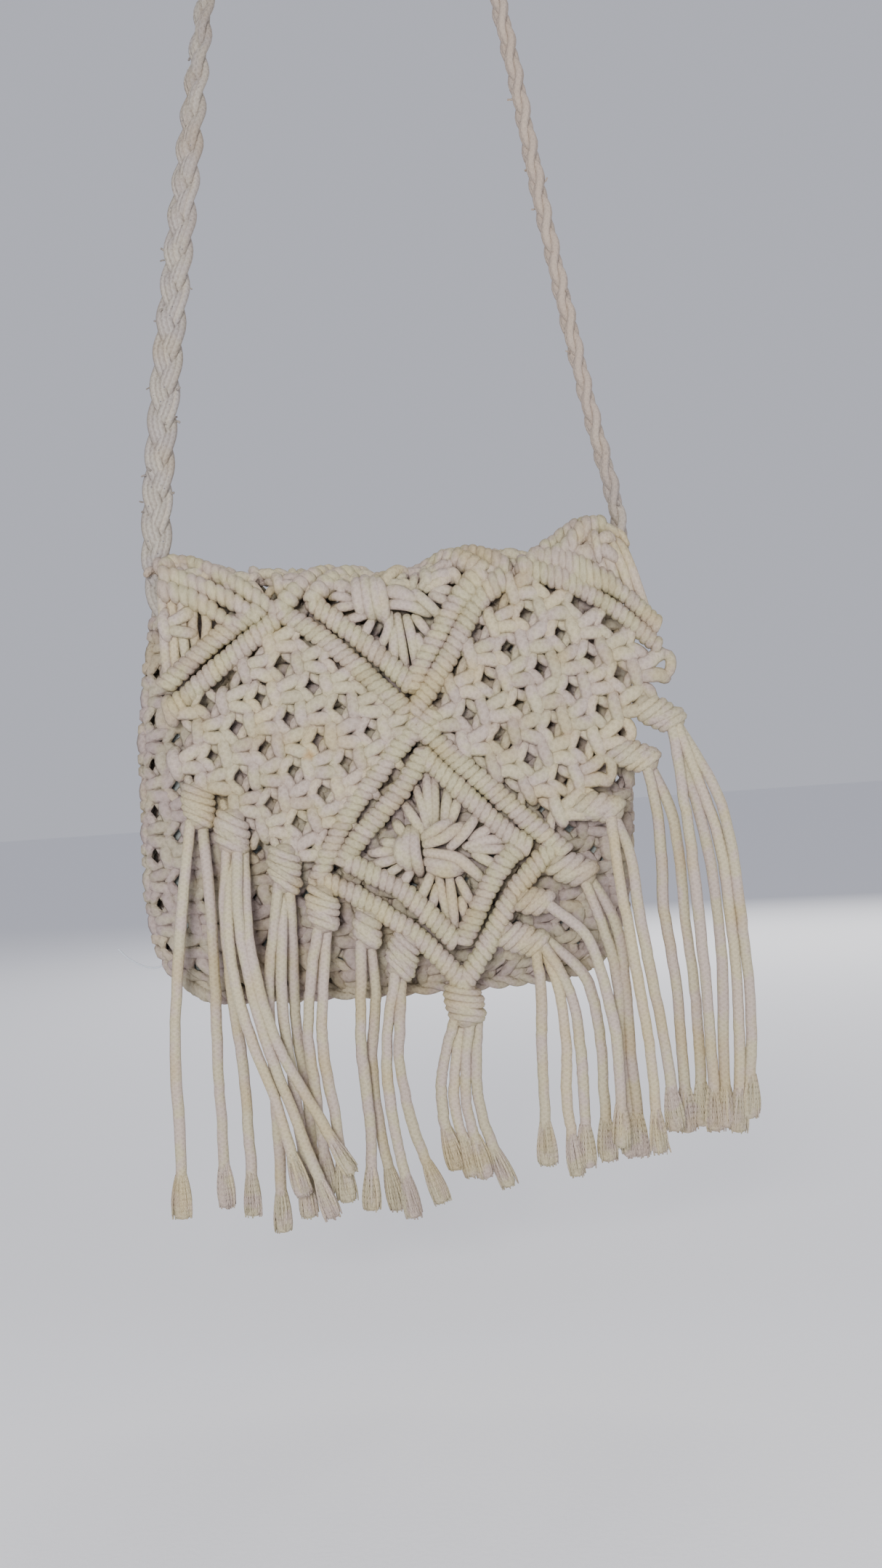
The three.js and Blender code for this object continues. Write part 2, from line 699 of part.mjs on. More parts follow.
function makeStrapSolid(grown = 0) {
  const curve = strapCurve();
  const places = strapPlaces(curve);
  const rings = places.map((place, index) => {
    const centre = curve.getPointAt(place);
    const along = curve.getTangentAt(place);
    if (index === 0 || index === places.length - 1) along.set(0, 0, index === 0 ? 1 : -1);
    const turned = place < 0.5 ? THREE.MathUtils.smoothstep(centre.z, 60, STRAP_TURN_ENDS) : 1;
    const level = new THREE.Vector3().crossVectors(along, new THREE.Vector3(0, 1, 0)).normalize();
    const depth = new THREE.Vector3(0, 1, 0);
    const quarter = (turned * Math.PI) / 2;
    const flat = level.clone().multiplyScalar(Math.cos(quarter));
    flat.addScaledVector(depth, Math.sin(quarter));
    const thick = new THREE.Vector3().crossVectors(along, flat);
    return Array.from({ length: STRAP_SIDES }, (_, side) => {
      const angle = (2 * Math.PI * (side + 0.5)) / STRAP_SIDES;
      const round = 1 / Math.cos(Math.PI / STRAP_SIDES);
      return centre.clone()
        .addScaledVector(flat, (STRAP_WIDTH / 2 + grown) * round * Math.cos(angle))
        .addScaledVector(thick, (STRAP_THICK / 2 + grown) * round * Math.sin(angle));
    });
  });
  return toSolid(loft(rings));
}

function makeFlap() {
  const back = FLAP_BACK;
  const [leftStar, rightStar] = [STARS[2], STARS[3]].map(starCorners);
  const outline = [
    new THREE.Vector2(92, back),
    new THREE.Vector2(-92, back),
    leftStar[0],
    leftStar[1],
    leftStar[2],
    ...FLAP_EDGE.slice(1).map(flatPoint),
    rightStar[3],
    rightStar[0],
    rightStar[1],
    new THREE.Vector2(92, 22),
  ];
  const holes = [starCorners(STARS[0]), starCorners(STARS[1])];
  for (const net of NETS) {
    for (const { row, from, to } of net.holes) {
      for (let column = from; column <= to; column += 1) {
        const x = net.first[0] + column * net.step[0] + row * net.row[0];
        const z = net.first[1] + column * net.step[1] + row * net.row[1];
        const centre = flatPoint([x, z]);
        holes.push([
          new THREE.Vector2(centre.x - HOLE_HALF_WIDTH, centre.y),
          new THREE.Vector2(centre.x, centre.y - HOLE_HALF_HEIGHT),
          new THREE.Vector2(centre.x + HOLE_HALF_WIDTH, centre.y),
          new THREE.Vector2(centre.x, centre.y + HOLE_HALF_HEIGHT),
        ]);
      }
    }
  }
  let cloth = flatCloth(outline, holes);
  barLines().forEach((line, index) => {
    cloth = cloth.add(flatBar(line, BAR_WIDTH, BAR_RISE - 0.05 * (index % 3)));
  });
  let flap = bend(cloth);
  for (const tassel of TASSELS) flap = flap.subtract(gatheringKnot(tassel, GAP));
  flap = flap.subtract(makeStrapSolid(GAP));
  const belowRim = new THREE.BoxGeometry(260, 40, 40);
  belowRim.translate(0, 20 + FOLD_CENTRE_Y, MOUTH + GAP - 20);
  return flap.subtract(toSolid(belowRim));
}

const bag = new THREE.Group();
bag.position.set(-HANG_X, 0, -HANG_DROP);
bag.add(makePouch());
bag.add(makeLining());
bag.add(named('flap', makeFlap(), creamCotton));
for (const star of STARS) {
  const knot = bend(flatStar(star)).subtract(makeStrapSolid(GAP));
  bag.add(named(star.name, knot, knotCotton));
}
TASSELS.forEach((tassel, index) => bag.add(makeTassel(tassel, index)));
bag.add(named('strap', makeStrapSolid(), strapCotton));

const crossbodyBag = new THREE.Group();
crossbodyBag.add(bag);

export default crossbodyBag;
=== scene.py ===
"""A small knotted cotton crossbody bag, hanging by its braided strap.

Metres, +X to the viewer's right, -Y towards the viewer, +Z up; zero is where the strap hangs.
Lengths below are millimetres from the bag's own zero, the middle of its mouth line.
"""

import math

import bpy
import numpy as np
from mathutils import Matrix, Vector


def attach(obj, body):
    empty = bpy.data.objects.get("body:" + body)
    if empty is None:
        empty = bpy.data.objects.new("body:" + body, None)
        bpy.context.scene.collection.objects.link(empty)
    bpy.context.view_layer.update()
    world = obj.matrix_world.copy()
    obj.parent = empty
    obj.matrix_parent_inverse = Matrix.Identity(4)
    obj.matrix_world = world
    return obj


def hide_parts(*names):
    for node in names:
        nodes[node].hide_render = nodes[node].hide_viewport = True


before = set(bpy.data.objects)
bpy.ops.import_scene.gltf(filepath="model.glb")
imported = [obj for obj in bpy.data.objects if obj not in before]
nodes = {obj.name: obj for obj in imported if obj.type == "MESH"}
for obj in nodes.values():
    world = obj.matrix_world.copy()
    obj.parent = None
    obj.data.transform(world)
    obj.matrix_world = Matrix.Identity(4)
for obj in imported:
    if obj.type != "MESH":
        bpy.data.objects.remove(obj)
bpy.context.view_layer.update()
rng = np.random.default_rng(7)


# The camera: a phone held about 0.6 m in front of the flap, level but rolled by four degrees.
# Its picture is 1214 pixels wide and shows the flap at about 3.6 pixels to the millimetre.
BAG_ZERO = np.array([4.6, 0.0, -502.0])
CAMERA_AT = np.array([11.3, -640.0, -85.4])
CAMERA_ROLL = math.radians(4.0)
CAMERA_TO_FLAP = 620.0
SENSOR = 36.0
PICTURE_WIDTH = 1214.0
PIXELS_PER_MM = 3.6


def add_object(name, data):
    """A new object in the scene that holds this mesh, lamp or camera."""
    item = bpy.data.objects.new(name, data)
    bpy.context.scene.collection.objects.link(item)
    return item


camera_data = bpy.data.cameras.new("camera")
camera_data.sensor_fit = "HORIZONTAL"
camera_data.sensor_width = SENSOR
camera_data.lens = SENSOR * CAMERA_TO_FLAP * PIXELS_PER_MM / PICTURE_WIDTH
camera_data.clip_start = 0.01
camera = add_object("camera", camera_data)
camera_right = Vector((math.cos(CAMERA_ROLL), 0.0, -math.sin(CAMERA_ROLL)))
camera_up = Vector((math.sin(CAMERA_ROLL), 0.0, math.cos(CAMERA_ROLL)))
camera.matrix_world = Matrix.Translation((CAMERA_AT + BAG_ZERO) / 1000.0) @ Matrix(
    (camera_right, camera_up, Vector((0.0, -1.0, 0.0)))
).transposed().to_4x4()
bpy.context.scene.camera = camera


# The lining: a plain grey-green woven cloth bag, sewn inside the net. Its weave is about
# ten threads a centimetre, and it shows only through the net's gaps.
WEAVE_SCALE = 0.32
LINING_DARK = (0.25, 0.275, 0.265, 1)
LINING_LIGHT = (0.33, 0.36, 0.345, 1)
BETWEEN_THREADS = (0.15, 0.165, 0.16, 1)


def shader_nodes(name):
    """A new material's node tree, and a function that adds a node with its inputs set or linked."""
    material = bpy.data.materials.new(name)
    material.use_nodes = True
    tree = material.node_tree
    tree.nodes.clear()

    def add(kind, inputs=None, **settings):
        node = tree.nodes.new("ShaderNode" + kind)
        for key, value in settings.items():
            setattr(node, key, value)
        for key, value in (inputs or {}).items():
            if isinstance(value, bpy.types.NodeSocket):
                tree.links.new(value, node.inputs[key])
            else:
                node.inputs[key].default_value = value
        return node

    return material, add


def millimetres(add):
    """The object's own place in millimetres, for patterns that keep their real size."""
    place = add("TexCoord").outputs["Object"]
    return add("VectorMath", {0: place, 1: (1000.0,) * 3}, operation="MULTIPLY").outputs[0]


def maths(add, operation, *values):
    return add("Math", dict(enumerate(values)), operation=operation).outputs[0]


def noise(add, place, scale, detail=2.0, roughness=0.5):
    settings = {"Vector": place, "Scale": scale, "Detail": detail, "Roughness": roughness}
    return add("TexNoise", settings).outputs[0]


def mix_colour(add, share, first, second, blend="MIX"):
    node = add("Mix", {0: share, 6: first, 7: second}, data_type="RGBA", blend_type=blend)
    return node.outputs[2]


def spread(add, value, low, high, to_low=0.0, to_high=1.0):
    node = add("MapRange", {0: value, 1: low, 2: high, 3: to_low, 4: to_high})
    return node.outputs[0]


def finish_cloth(add, colour, height, depth, roughness=0.95):
    """A matt surface of this colour, raised by so many metres where the height is one."""
    bump = add("Bump", {"Strength": 1.0, "Distance": depth, "Height": height})
    cloth = add("BsdfPrincipled", {
        "Base Color": colour,
        "Roughness": roughness,
        "Normal": bump.outputs[0],
        "Specular IOR Level": 0.15,
    })
    add("OutputMaterial", {"Surface": cloth.outputs[0]})


def lining_material():
    material, add = shader_nodes("lining_weave")
    place = millimetres(add)
    across = add("TexWave", {"Vector": place, "Scale": WEAVE_SCALE}, bands_direction="X")
    down = add("TexWave", {"Vector": place, "Scale": WEAVE_SCALE}, bands_direction="Z")
    weave = maths(add, "MAXIMUM", across.outputs[1], down.outputs[1])
    blotch = noise(add, place, 0.08, detail=3.0)
    colour = mix_colour(add, blotch, LINING_DARK, LINING_LIGHT)
    colour = mix_colour(add, spread(add, weave, 0.2, 0.9, 0.3, 0.0), colour, BETWEEN_THREADS)
    finish_cloth(add, colour, weave, 0.0001)
    return material


lining = nodes["lining"]
lining.data.materials.clear()
lining.data.materials.append(lining_material())


# The pouch: one tube of square knots in 5 mm braided cotton cord, with half a step between
# its rows. Each knot shows two cords that cross it and the loop that holds them at the left.
POUCH_SECTIONS = np.array([
    # z, left, right, front, back
    [-12, -98, 87, -8, 13],
    [-30, -102, 88, -11, 13.5],
    [-60, -105.5, 87.5, -14, 14],
    [-90, -106.5, 86.5, -15, 14],
    [-120, -107.4, 84.5, -15, 14],
    [-140, -105.5, 81, -13, 13.5],
    [-150, -102, 77, -11, 12.5],
    [-156, -97, 72, -9, 11.5],
    [-161, -89, 64, -6, 10],
    [-164, -81, 56, -2.5, 7],
])
CORNER_POWER = 3.0
GIRTH_LEVEL = -90.0
NET_INSET = 2.3
NET_ROWS = 17
NET_TOP = -16.5
NET_FOOT_AND_MOUTH = (-163.5, -9.0)
NET_ROW_STEP = 8.95
KNOT_PITCH = 20.2
KNOT_RISE = 10.05
KNOT_WANDER = 0.24
POUCH_KNOT_SIZE = 1.12
# How much the painted shade in the creases lowers a cord's tone
CREASE_SHADE = 0.38
# The net lies a little deeper where the flap presses on it, and its tone is lowered there as painted
# shade under the flap.
# The flap's sides slant from their corners to a point: each corner's x and z, and the side's slope
PRESSED_IN = 0.5
FLAP_SIDES = [(-93, -58, -1.19), (99, -50, 1.67)]
FLAP_POINT = -158.0
# Two cords twisted together close the net along the bottom, once at each face
SEAM_LINE = [(-96, -153), (-90, -159), (-78, -163), (-30, -164.5),
             (20, -164.5), (54, -162.5), (67, -158), (75, -151)]
SEAM_TWISTS = 17
SEAM_STEPS = 220
SEAM_SWING = 1.3
# The yarns that cross in a cord's braid: millimetres to a crossing, and crossings round it
YARN_STEP = 2.2
YARNS_ROUND = 5
SHADE = (0.60, 0.56, 0.53, 1)
SPECK = (0.16, 0.15, 0.16, 1)
# A small brown stain in the flap's net: place, radius, colour and strength
BROWN_SPOT = ((-38.5, -20, -71), 3.5, (0.42, 0.27, 0.12, 1), 0.7)


def through(points, count):
    """A smooth line through the points, with the given number of places along it."""
    points = np.asarray(points, float)
    ends = np.vstack([2 * points[0] - points[1], points, 2 * points[-1] - points[-2]])
    place = np.linspace(0, len(points) - 1, count)
    index = np.minimum(place.astype(int), len(points) - 2)
    share = (place - index)[:, None]
    a, b, c, d = ends[index], ends[index + 1], ends[index + 2], ends[index + 3]
    return 0.5 * (2 * b + (c - a) * share + (2 * a - 5 * b + 4 * c - d) * share**2
                  + (3 * b - a - 3 * c + d) * share**3)


def length_along(path):
    """How far along a line each of its places lies."""
    return np.concatenate([[0], np.cumsum(np.linalg.norm(np.diff(path, axis=0), axis=1))])


def places_at(at, length, path):
    """The places that lie so far along a line."""
    return np.stack([np.interp(at, length, column) for column in path.T], -1)


def unit(vectors):
    return vectors / np.maximum(np.linalg.norm(vectors, axis=-1, keepdims=True), 1e-9)


def section_axes(path, facing):
    """Directions across and out of a cord at each place: held to a facing, or carried along."""
    along = unit(np.gradient(path, axis=0))
    if facing is not None:
        across = unit(np.cross(along, facing))
    else:
        side = np.cross(along[0], (0.3, 0.5, 0.8))
        across = np.empty_like(path)
        for index, direction in enumerate(along):
            side = unit(side - direction * (side @ direction))
            across[index] = side
    return along, across, np.cross(across, along)


class Strands:
    """Cords swept along lines and gathered into one mesh, with a tone for each cord."""

    def __init__(self):
        self.points, self.faces, self.maps, self.tones = [], [], [], []
        self.count = 0

    def sweep(self, path, wide, thick=None, facing=None, sides=8, tone=0.5, swell=1.0, flank_shade=0.0):
        """Adds one cord of the given half width and half thickness, with rounded ends."""
        path = np.asarray(path, float)
        along, across, out = section_axes(path, facing)
        wide = np.broadcast_to(wide, len(path)) * swell
        thick = wide if thick is None else np.broadcast_to(thick, len(path)) * swell
        rings = list(zip(path, across, out, wide, thick))
        for reach, share in ((0.4, 0.65), (0.55, 0.05)):
            rings.insert(0, (path[0] - along[0] * wide[0] * reach, across[0], out[0],
                             wide[0] * share, thick[0] * share))
            rings.append((path[-1] + along[-1] * wide[-1] * reach, across[-1], out[-1],
                          wide[-1] * share, thick[-1] * share))
        centre, side, front, half_wide, half_thick = (np.array(part) for part in zip(*rings))
        angle = 2 * np.pi * np.arange(sides) / sides
        skin = (centre[:, None] + side[:, None] * (half_wide[:, None] * np.cos(angle))[..., None]
                + front[:, None] * (half_thick[:, None] * np.sin(angle))[..., None])
        count = len(rings)
        ring, turn = np.meshgrid(np.arange(count - 1), np.arange(sides), indexing="ij")
        following = (turn + 1) % sides
        faces = np.stack([ring * sides + turn, ring * sides + following,
                          (ring + 1) * sides + following, (ring + 1) * sides + turn], -1)
        length = length_along(centre)
        low, high = length[ring], length[ring + 1]
        corners = ((low, turn), (low, turn + 1), (high, turn + 1), (high, turn))
        maps = np.stack([np.stack([far, side_of / sides], -1) for far, side_of in corners], 2)
        self.points.append(skin.reshape(-1, 3))
        self.faces.append(faces.reshape(-1, 4) + self.count)
        self.maps.append(maps.reshape(-1, 2))
        # The cord's tone falls towards its two sides: painted shade where cords lie against each other
        self.tones.append(np.clip(np.tile(tone - flank_shade * np.abs(np.cos(angle)), count), 0, 1))
        self.count += count * sides

    def whole(self):
        return (np.concatenate(self.points), np.concatenate(self.faces),
                np.concatenate(self.maps), np.concatenate(self.tones))

    def place(self, template, onto, tone=0.0):
        """Adds a copy of a gathered mesh, with its points carried onto their real place."""
        points, faces, maps, tones = template
        self.points.append(onto(points))
        self.faces.append(faces + self.count)
        self.maps.append(maps)
        self.tones.append(np.clip(tones + tone, 0, 1))
        self.count += len(points)

    def paint_crease_shade(self, low, high):
        """Paints shade into the creases: lowers the tone of places that lie less than so far out of the
        cloth.
        """
        for index, points in enumerate(self.points):
            deep = np.clip((high - points[:, 2]) / (high - low), 0, 1)
            self.tones[index] = np.clip(self.tones[index] - CREASE_SHADE * deep, 0, 1)

    def build(self, name, material, onto=None):
        """The Blender object of the gathered cords, riding on the bag."""
        points, faces, maps, tones = self.whole()
        if onto is not None:
            points = onto(points)
        mesh = bpy.data.meshes.new(name)
        mesh.vertices.add(len(points))
        mesh.vertices.foreach_set("co", ((points + BAG_ZERO) / 1000.0).ravel())
        mesh.loops.add(faces.size)
        mesh.loops.foreach_set("vertex_index", faces.ravel())
        mesh.polygons.add(len(faces))
        mesh.polygons.foreach_set("loop_start", np.arange(0, faces.size, 4))
        mesh.polygons.foreach_set("loop_total", np.full(len(faces), 4))
        mesh.uv_layers.new(name="cord").data.foreach_set("uv", maps.ravel())
        mesh.attributes.new("tone", "FLOAT", "POINT").data.foreach_set("value", tones)
        mesh.update()
        mesh.validate()
        mesh.shade_smooth()
        mesh.materials.append(material)
        piece = add_object(name, mesh)
        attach(piece, "root")
        return piece


KNOT_CORDS = {
    # radius, then the cord's line: x along the row, y up, z out of the cloth
    "hold": (2.3, [(-4.4, 5.2, -1.2), (-5.2, 3.9, 1.1), (-5.4, 1.5, 2.4), (-5.0, -1.3, 2.5),
                   (-4.5, -3.9, 1.3), (-4.0, -5.2, -1.0)]),
    "upper": (2.35, [(-4.4, 0.9, -0.6), (-2.4, 1.6, 1.5), (0.4, 2.3, 2.3), (3.2, 3.1, 2.0),
                     (5.4, 4.0, 0.6), (6.4, 4.5, -1.0)]),
    "lower": (2.35, [(-4.4, -0.9, -0.6), (-2.4, -1.9, 1.5), (0.4, -2.5, 2.3), (3.2, -3.1, 2.0),
                     (5.6, -3.9, 0.6), (6.6, -4.5, -1.0)]),
    "right_up": (1.8, [(3.6, -1.0, -0.8), (4.8, 0.5, 1.3), (6.2, 2.3, 2.1), (7.7, 4.3, 1.6),
                       (8.8, 6.2, -0.3)]),
    "right_down": (1.8, [(3.6, 0.2, -0.8), (4.9, -1.2, 1.3), (6.6, -2.9, 2.0), (8.3, -4.9, 1.6),
                         (9.5, -7.0, -0.3)]),
    "left_up": (1.7, [(-11.2, 5.9, -1.4), (-9.4, 3.6, -0.1), (-7.4, 1.8, -0.3), (-5.5, 0.4, -1.2)]),
    "left_down": (1.7, [(-6.5, -0.4, -1.4), (-7.9, -2.2, -0.3), (-9.2, -4.6, -0.1),
                        (-10.2, -6.8, -1.4)]),
    "edge_loop": (2.0, [(3.2, 3.4, 0.4), (6.6, 3.9, 0.8), (8.6, 2.2, 1.0), (8.9, -0.6, 1.2),
                        (7.4, -3.2, 0.9), (3.6, -3.8, 0.2)]),
}
BARE_KNOT = ("hold", "upper", "lower")
TO_THE_RIGHT = ("right_up", "right_down")
TO_THE_LEFT = ("left_up", "left_down")


def square_knot(sides, fineness, cords=(*BARE_KNOT, *TO_THE_RIGHT, *TO_THE_LEFT)):
    """One knot of the net. One cord holds it at the left, two cross over it, and others join
    its neighbours or turn back in a loop at the flap's edge."""
    knot = Strands()
    for radius, route in (KNOT_CORDS[name] for name in cords):
        count = round(len(route) * fineness)
        route = np.array(route) + rng.normal(0, KNOT_WANDER, (len(route), 3))
        leaf = 0.86 + 0.2 * np.sin(np.linspace(0, np.pi, count))
        radius *= rng.normal(1, 0.04)
        knot.sweep(through(route, count), radius * 1.08, radius * 0.94, facing=(0, 0, 1),
                   sides=sides, tone=rng.normal(0.58, 0.12), swell=leaf)
    # Painted shade in the knot's creases
    knot.paint_crease_shade(-1.0, 2.2)
    return knot.whole()


def cotton_material(name, cream, lilac, warm, specks=0.0, stains=()):
    """Braided cotton cord: crossing yarns in relief with painted shade between them, cords of unlike
    tone, painted shade where the tone is low, and handling marks.
    """
    material, add = shader_nodes(name)
    place = millimetres(add)
    along = add("SeparateXYZ", {0: add("UVMap", uv_map="cord").outputs[0]}).outputs
    step = maths(add, "MULTIPLY", along[0], math.tau / YARN_STEP)
    round_it = maths(add, "MULTIPLY", along[1], math.tau * YARNS_ROUND)
    one_way = maths(add, "SINE", maths(add, "ADD", step, round_it))
    other_way = maths(add, "SINE", maths(add, "SUBTRACT", step, round_it))
    yarns = maths(add, "MAXIMUM", one_way, other_way)
    fibre = noise(add, place, 1.6, detail=4.0, roughness=0.65)
    patch = noise(add, place, 0.11)
    blotch = noise(add, place, 0.05)
    tone = add("Attribute", attribute_name="tone").outputs["Fac"]
    colour = mix_colour(add, spread(add, patch, 0.42, 0.58), lilac, cream)
    colour = mix_colour(add, spread(add, blotch, 0.5, 0.68, 0.0, 0.7), colour, warm)
    colour = mix_colour(add, spread(add, tone, 0.62, 0.85, 0.0, 0.6), colour, warm)
    # A low tone is darkened towards SHADE: painted shade in creases, cores and under the flap, besides
    # the tone that differs at random from cord to cord
    colour = mix_colour(add, spread(add, tone, 0.1, 0.85, 0.75, 0.0), colour, SHADE, "MULTIPLY")
    colour = mix_colour(add, spread(add, fibre, 0.3, 0.7, 0.45, 0.0), colour, SHADE, "MULTIPLY")
    # Painted shade in the grooves between the crossing yarns
    colour = mix_colour(add, spread(add, yarns, -0.4, 0.6, 0.25, 0.0), colour, SHADE, "MULTIPLY")
    if specks:
        dust = add("TexVoronoi", {"Vector": place, "Scale": 0.42, "Randomness": 1.0})
        spot = spread(add, dust.outputs["Distance"], 0.05 + specks, 0.1 + specks, 1.0, 0.0)
        some = maths(add, "GREATER_THAN", dust.outputs["Color"], 0.72)
        colour = mix_colour(add, maths(add, "MULTIPLY", spot, some), colour, SPECK)
    for centre, radius, tint, strength in stains:
        middle = tuple(np.array(centre) + BAG_ZERO)
        off = add("VectorMath", {0: place, 1: middle}, operation="DISTANCE")
        spot = spread(add, off.outputs["Value"], radius * 0.5, radius, strength, 0.0)
        colour = mix_colour(add, spot, colour, tint)
    relief = maths(add, "ADD", maths(add, "MULTIPLY", yarns, 0.22), fibre)
    finish_cloth(add, colour, relief, 0.00032)
    return material


cream_cotton = cotton_material(
    "cream_cotton", cream=(0.585, 0.53, 0.375, 1), lilac=(0.575, 0.485, 0.425, 1),
    warm=(0.565, 0.465, 0.27, 1), stains=[BROWN_SPOT])
# The pouch's cotton: the cream cotton made darker and more lilac, as painted shade behind and below the
# flap
pouch_cotton_shaded = cotton_material(
    "pouch_cotton_shaded", cream=(0.485, 0.435, 0.33, 1), lilac=(0.465, 0.385, 0.36, 1),
    warm=(0.47, 0.39, 0.255, 1))


def pouch_outline(turn, z):
    """Places on the pouch's skin, by turn about its middle and height."""
    left, right, front, back = (np.interp(-z, -POUCH_SECTIONS[:, 0], POUCH_SECTIONS[:, column])
                                for column in range(1, 5))
    cos, sin = np.cos(turn), np.sin(turn)
    x = (left + right) / 2 + (right - left) / 2 * np.sign(cos) * np.abs(cos) ** (2 / CORNER_POWER)
    y = (front + back) / 2 + (back - front) / 2 * np.sign(sin) * np.abs(sin) ** (2 / CORNER_POWER)
    return np.stack([x, y, z], -1)


turns = np.linspace(-np.pi, np.pi, 4001) + 1e-4
girth = length_along(pouch_outline(turns, np.full(turns.shape, GIRTH_LEVEL)))


def onto_pouch(flat):
    """Carries places given by way round the pouch, height and distance out onto its skin."""
    turn = np.interp(flat[:, 0] % girth[-1], girth, turns)
    z = np.clip(flat[:, 1], *NET_FOOT_AND_MOUTH)
    skin = pouch_outline(turn, z)
    round_it = pouch_outline(turn + 0.02, z) - pouch_outline(turn - 0.02, z)
    down = pouch_outline(turn, z - 1.0) - pouch_outline(turn, z + 1.0)
    out = unit(np.cross(down, round_it))
    return skin + out * (flat[:, 2:3] - NET_INSET) + (0, 0, 1) * (flat[:, 1] - z)[:, None]


def under_flap(x, z):
    """Whether a place on the pouch's front is behind the flap."""
    sides = [corner_z + slope * (x - corner_x) for corner_x, corner_z, slope in FLAP_SIDES]
    return z > max(*sides, FLAP_POINT)


columns = round(girth[-1] / KNOT_PITCH)
column_step = girth[-1] / columns
coarse_knots = [square_knot(6, 1.5) for _ in range(8)]
pouch_front, pouch_back = Strands(), Strands()
for row in range(NET_ROWS):
    for column in range(columns):
        middle = np.array([(column + 0.5 * (row % 2)) * column_step, NET_TOP - row * NET_ROW_STEP])
        middle += rng.normal(0, 0.35, 2)
        lean = rng.normal(0, 0.05)
        size = rng.normal(POUCH_KNOT_SIZE, 0.03)
        place = onto_pouch(np.array([[middle[0], middle[1], 0.0]]))[0]
        front = place[1] < 0
        pressed_in = PRESSED_IN if front and under_flap(place[0], place[2]) else 0.0

        def knot_to_skin(points):
            x = points[:, 0] * column_step / KNOT_PITCH * size
            y = points[:, 1] * NET_ROW_STEP / KNOT_RISE * size
            return onto_pouch(np.stack([middle[0] + x - y * lean, middle[1] + y + x * lean,
                                        points[:, 2] * 0.8 - pressed_in], -1))

        net = pouch_front if front else pouch_back
        # Behind the flap the knots' tone is lowered too: painted shade under the flap
        net.place(coarse_knots[rng.integers(8)], knot_to_skin, rng.normal(0, 0.09) - 0.15 * pressed_in)
for seam_y, net in ((-4.0, pouch_front), (5.5, pouch_back)):
    seam = through([(x, seam_y, z) for x, z in SEAM_LINE], SEAM_STEPS)
    for ply in (0.0, math.pi):
        twist = np.linspace(0, math.tau * SEAM_TWISTS, SEAM_STEPS) + ply
        swing = SEAM_SWING * np.column_stack([0 * twist, np.cos(twist), np.sin(twist)])
        net.sweep(seam + swing, 1.7, sides=6, tone=rng.normal(0.45, 0.08))
for name, net in (("pouch_net_front", pouch_front), ("pouch_net_back", pouch_back)):
    piece = net.build(name, pouch_cotton_shaded)
    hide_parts("pouch")


# The flap's net: the same square knots in two slanting fields between the bars, and over the
# fold, where they join the back of the pouch. The flap leans out over the pouch below it.
FLAP_FRONT = [(0, -13), (32, -17.8), (160, -19)]
FOLD_FOOT = -13.0
FOLD_CENTRE_Y = -1.5
FOLD_HALF_DEPTH = 11.5
FOLD_REACH = 12.0
CLOTH = 5.0
FOLD_CREST = through([(-92, 9.5), (-50, 2.5), (3, -1.5), (22, 4), (54, 4), (75, 13), (92, 8)], 61)
NET_FIELDS = [
    # one hole's place, the steps to the next hole and the next row of them, and the field's edge
    {
        "hole": (-45.5, -35.7), "step": (10.5, -9.1), "row": (-9.7, -11.0),
        "edge": [(-47, -17), (-89, -52), (-93, -58), (-90, -75), (-83, -83), (-75, -87), (-69, -94),
                 (-58, -102), (-51, -109), (-44, -114), (-38, -118), (-30, -104), (-12, -81),
                 (3, -61), (-3, -53)],
    },
    {
        "hole": (49.7, -22.0), "step": (11.35, -8.9), "row": (-8.4, -12.6),
        "edge": [(7, -56), (22, -33), (39, -11), (50, -5), (75, -17), (98, -38), (101, -48),
                 (94, -60), (90, -71), (82, -77), (75, -90), (67, -96), (64, -106), (58, -115),
                 (46, -103), (22, -79)],
    },
]
# The flap's two free edges, as depths below the mouth line and the x at each; a knot that reaches
# past one turns its cords back in a loop there
RIGHT_EDGE = ([26, 50, 60, 71, 77, 91, 96, 106, 117], [97, 99, 92, 88, 81, 74, 66, 63, 59])
LEFT_EDGE = ([41, 58, 75, 83, 87, 94, 102, 109, 114, 121],
             [-92, -92, -88, -82, -75, -69, -58, -51, -44, -40])
RIGHT_REACH = 10
LEFT_REACH = 11
# Over the fold: the net's middle and half width, its knots' steps and its first row's height
FOLD_NET_MIDDLE = -1.5
FOLD_NET_HALF_WIDTH = 90
FOLD_KNOT_STEP = 19.0
FOLD_ROW_STEP = 8.6
FOLD_FIRST_ROW = 9.5
SMALL_FOLD_KNOTS = [(-46.5, 0.5), (-37, 5), (44.5, 2.5)]


def fold_rise(x):
    return np.interp(x, FOLD_CREST[:, 0], FOLD_CREST[:, 1]) - FOLD_FOOT - CLOTH / 2


def laid_flat(x, z):
    """The height that a place in front view has on the flap when that is laid flat."""
    if z <= FOLD_FOOT:
        return z - FOLD_FOOT
    return FOLD_REACH * math.asin(min(1.0, (z - FOLD_FOOT) / float(fold_rise(x))))


def over_fold(flat):
    """Bends the flat flap: above zero height it goes over the fold, below it hangs in front."""
    x, height, out = flat[:, 0], flat[:, 1], flat[:, 2]
    front_y = np.interp(-height, [row[0] for row in FLAP_FRONT], [row[1] for row in FLAP_FRONT])
    angle = np.clip(height / FOLD_REACH, 0, np.pi)
    beyond = np.maximum(height - np.pi * FOLD_REACH, 0)
    rise = fold_rise(x)
    normal = unit(np.stack([-np.cos(angle) / FOLD_HALF_DEPTH, np.sin(angle) / rise], -1))
    y = np.where(height > 0, FOLD_CENTRE_Y - FOLD_HALF_DEPTH * np.cos(angle) + normal[:, 0] * out,
                 front_y - out)
    z = np.where(height > 0, FOLD_FOOT + rise * np.sin(angle) + normal[:, 1] * out - beyond,
                 FOLD_FOOT + height)
    return np.stack([x, y, z], -1)


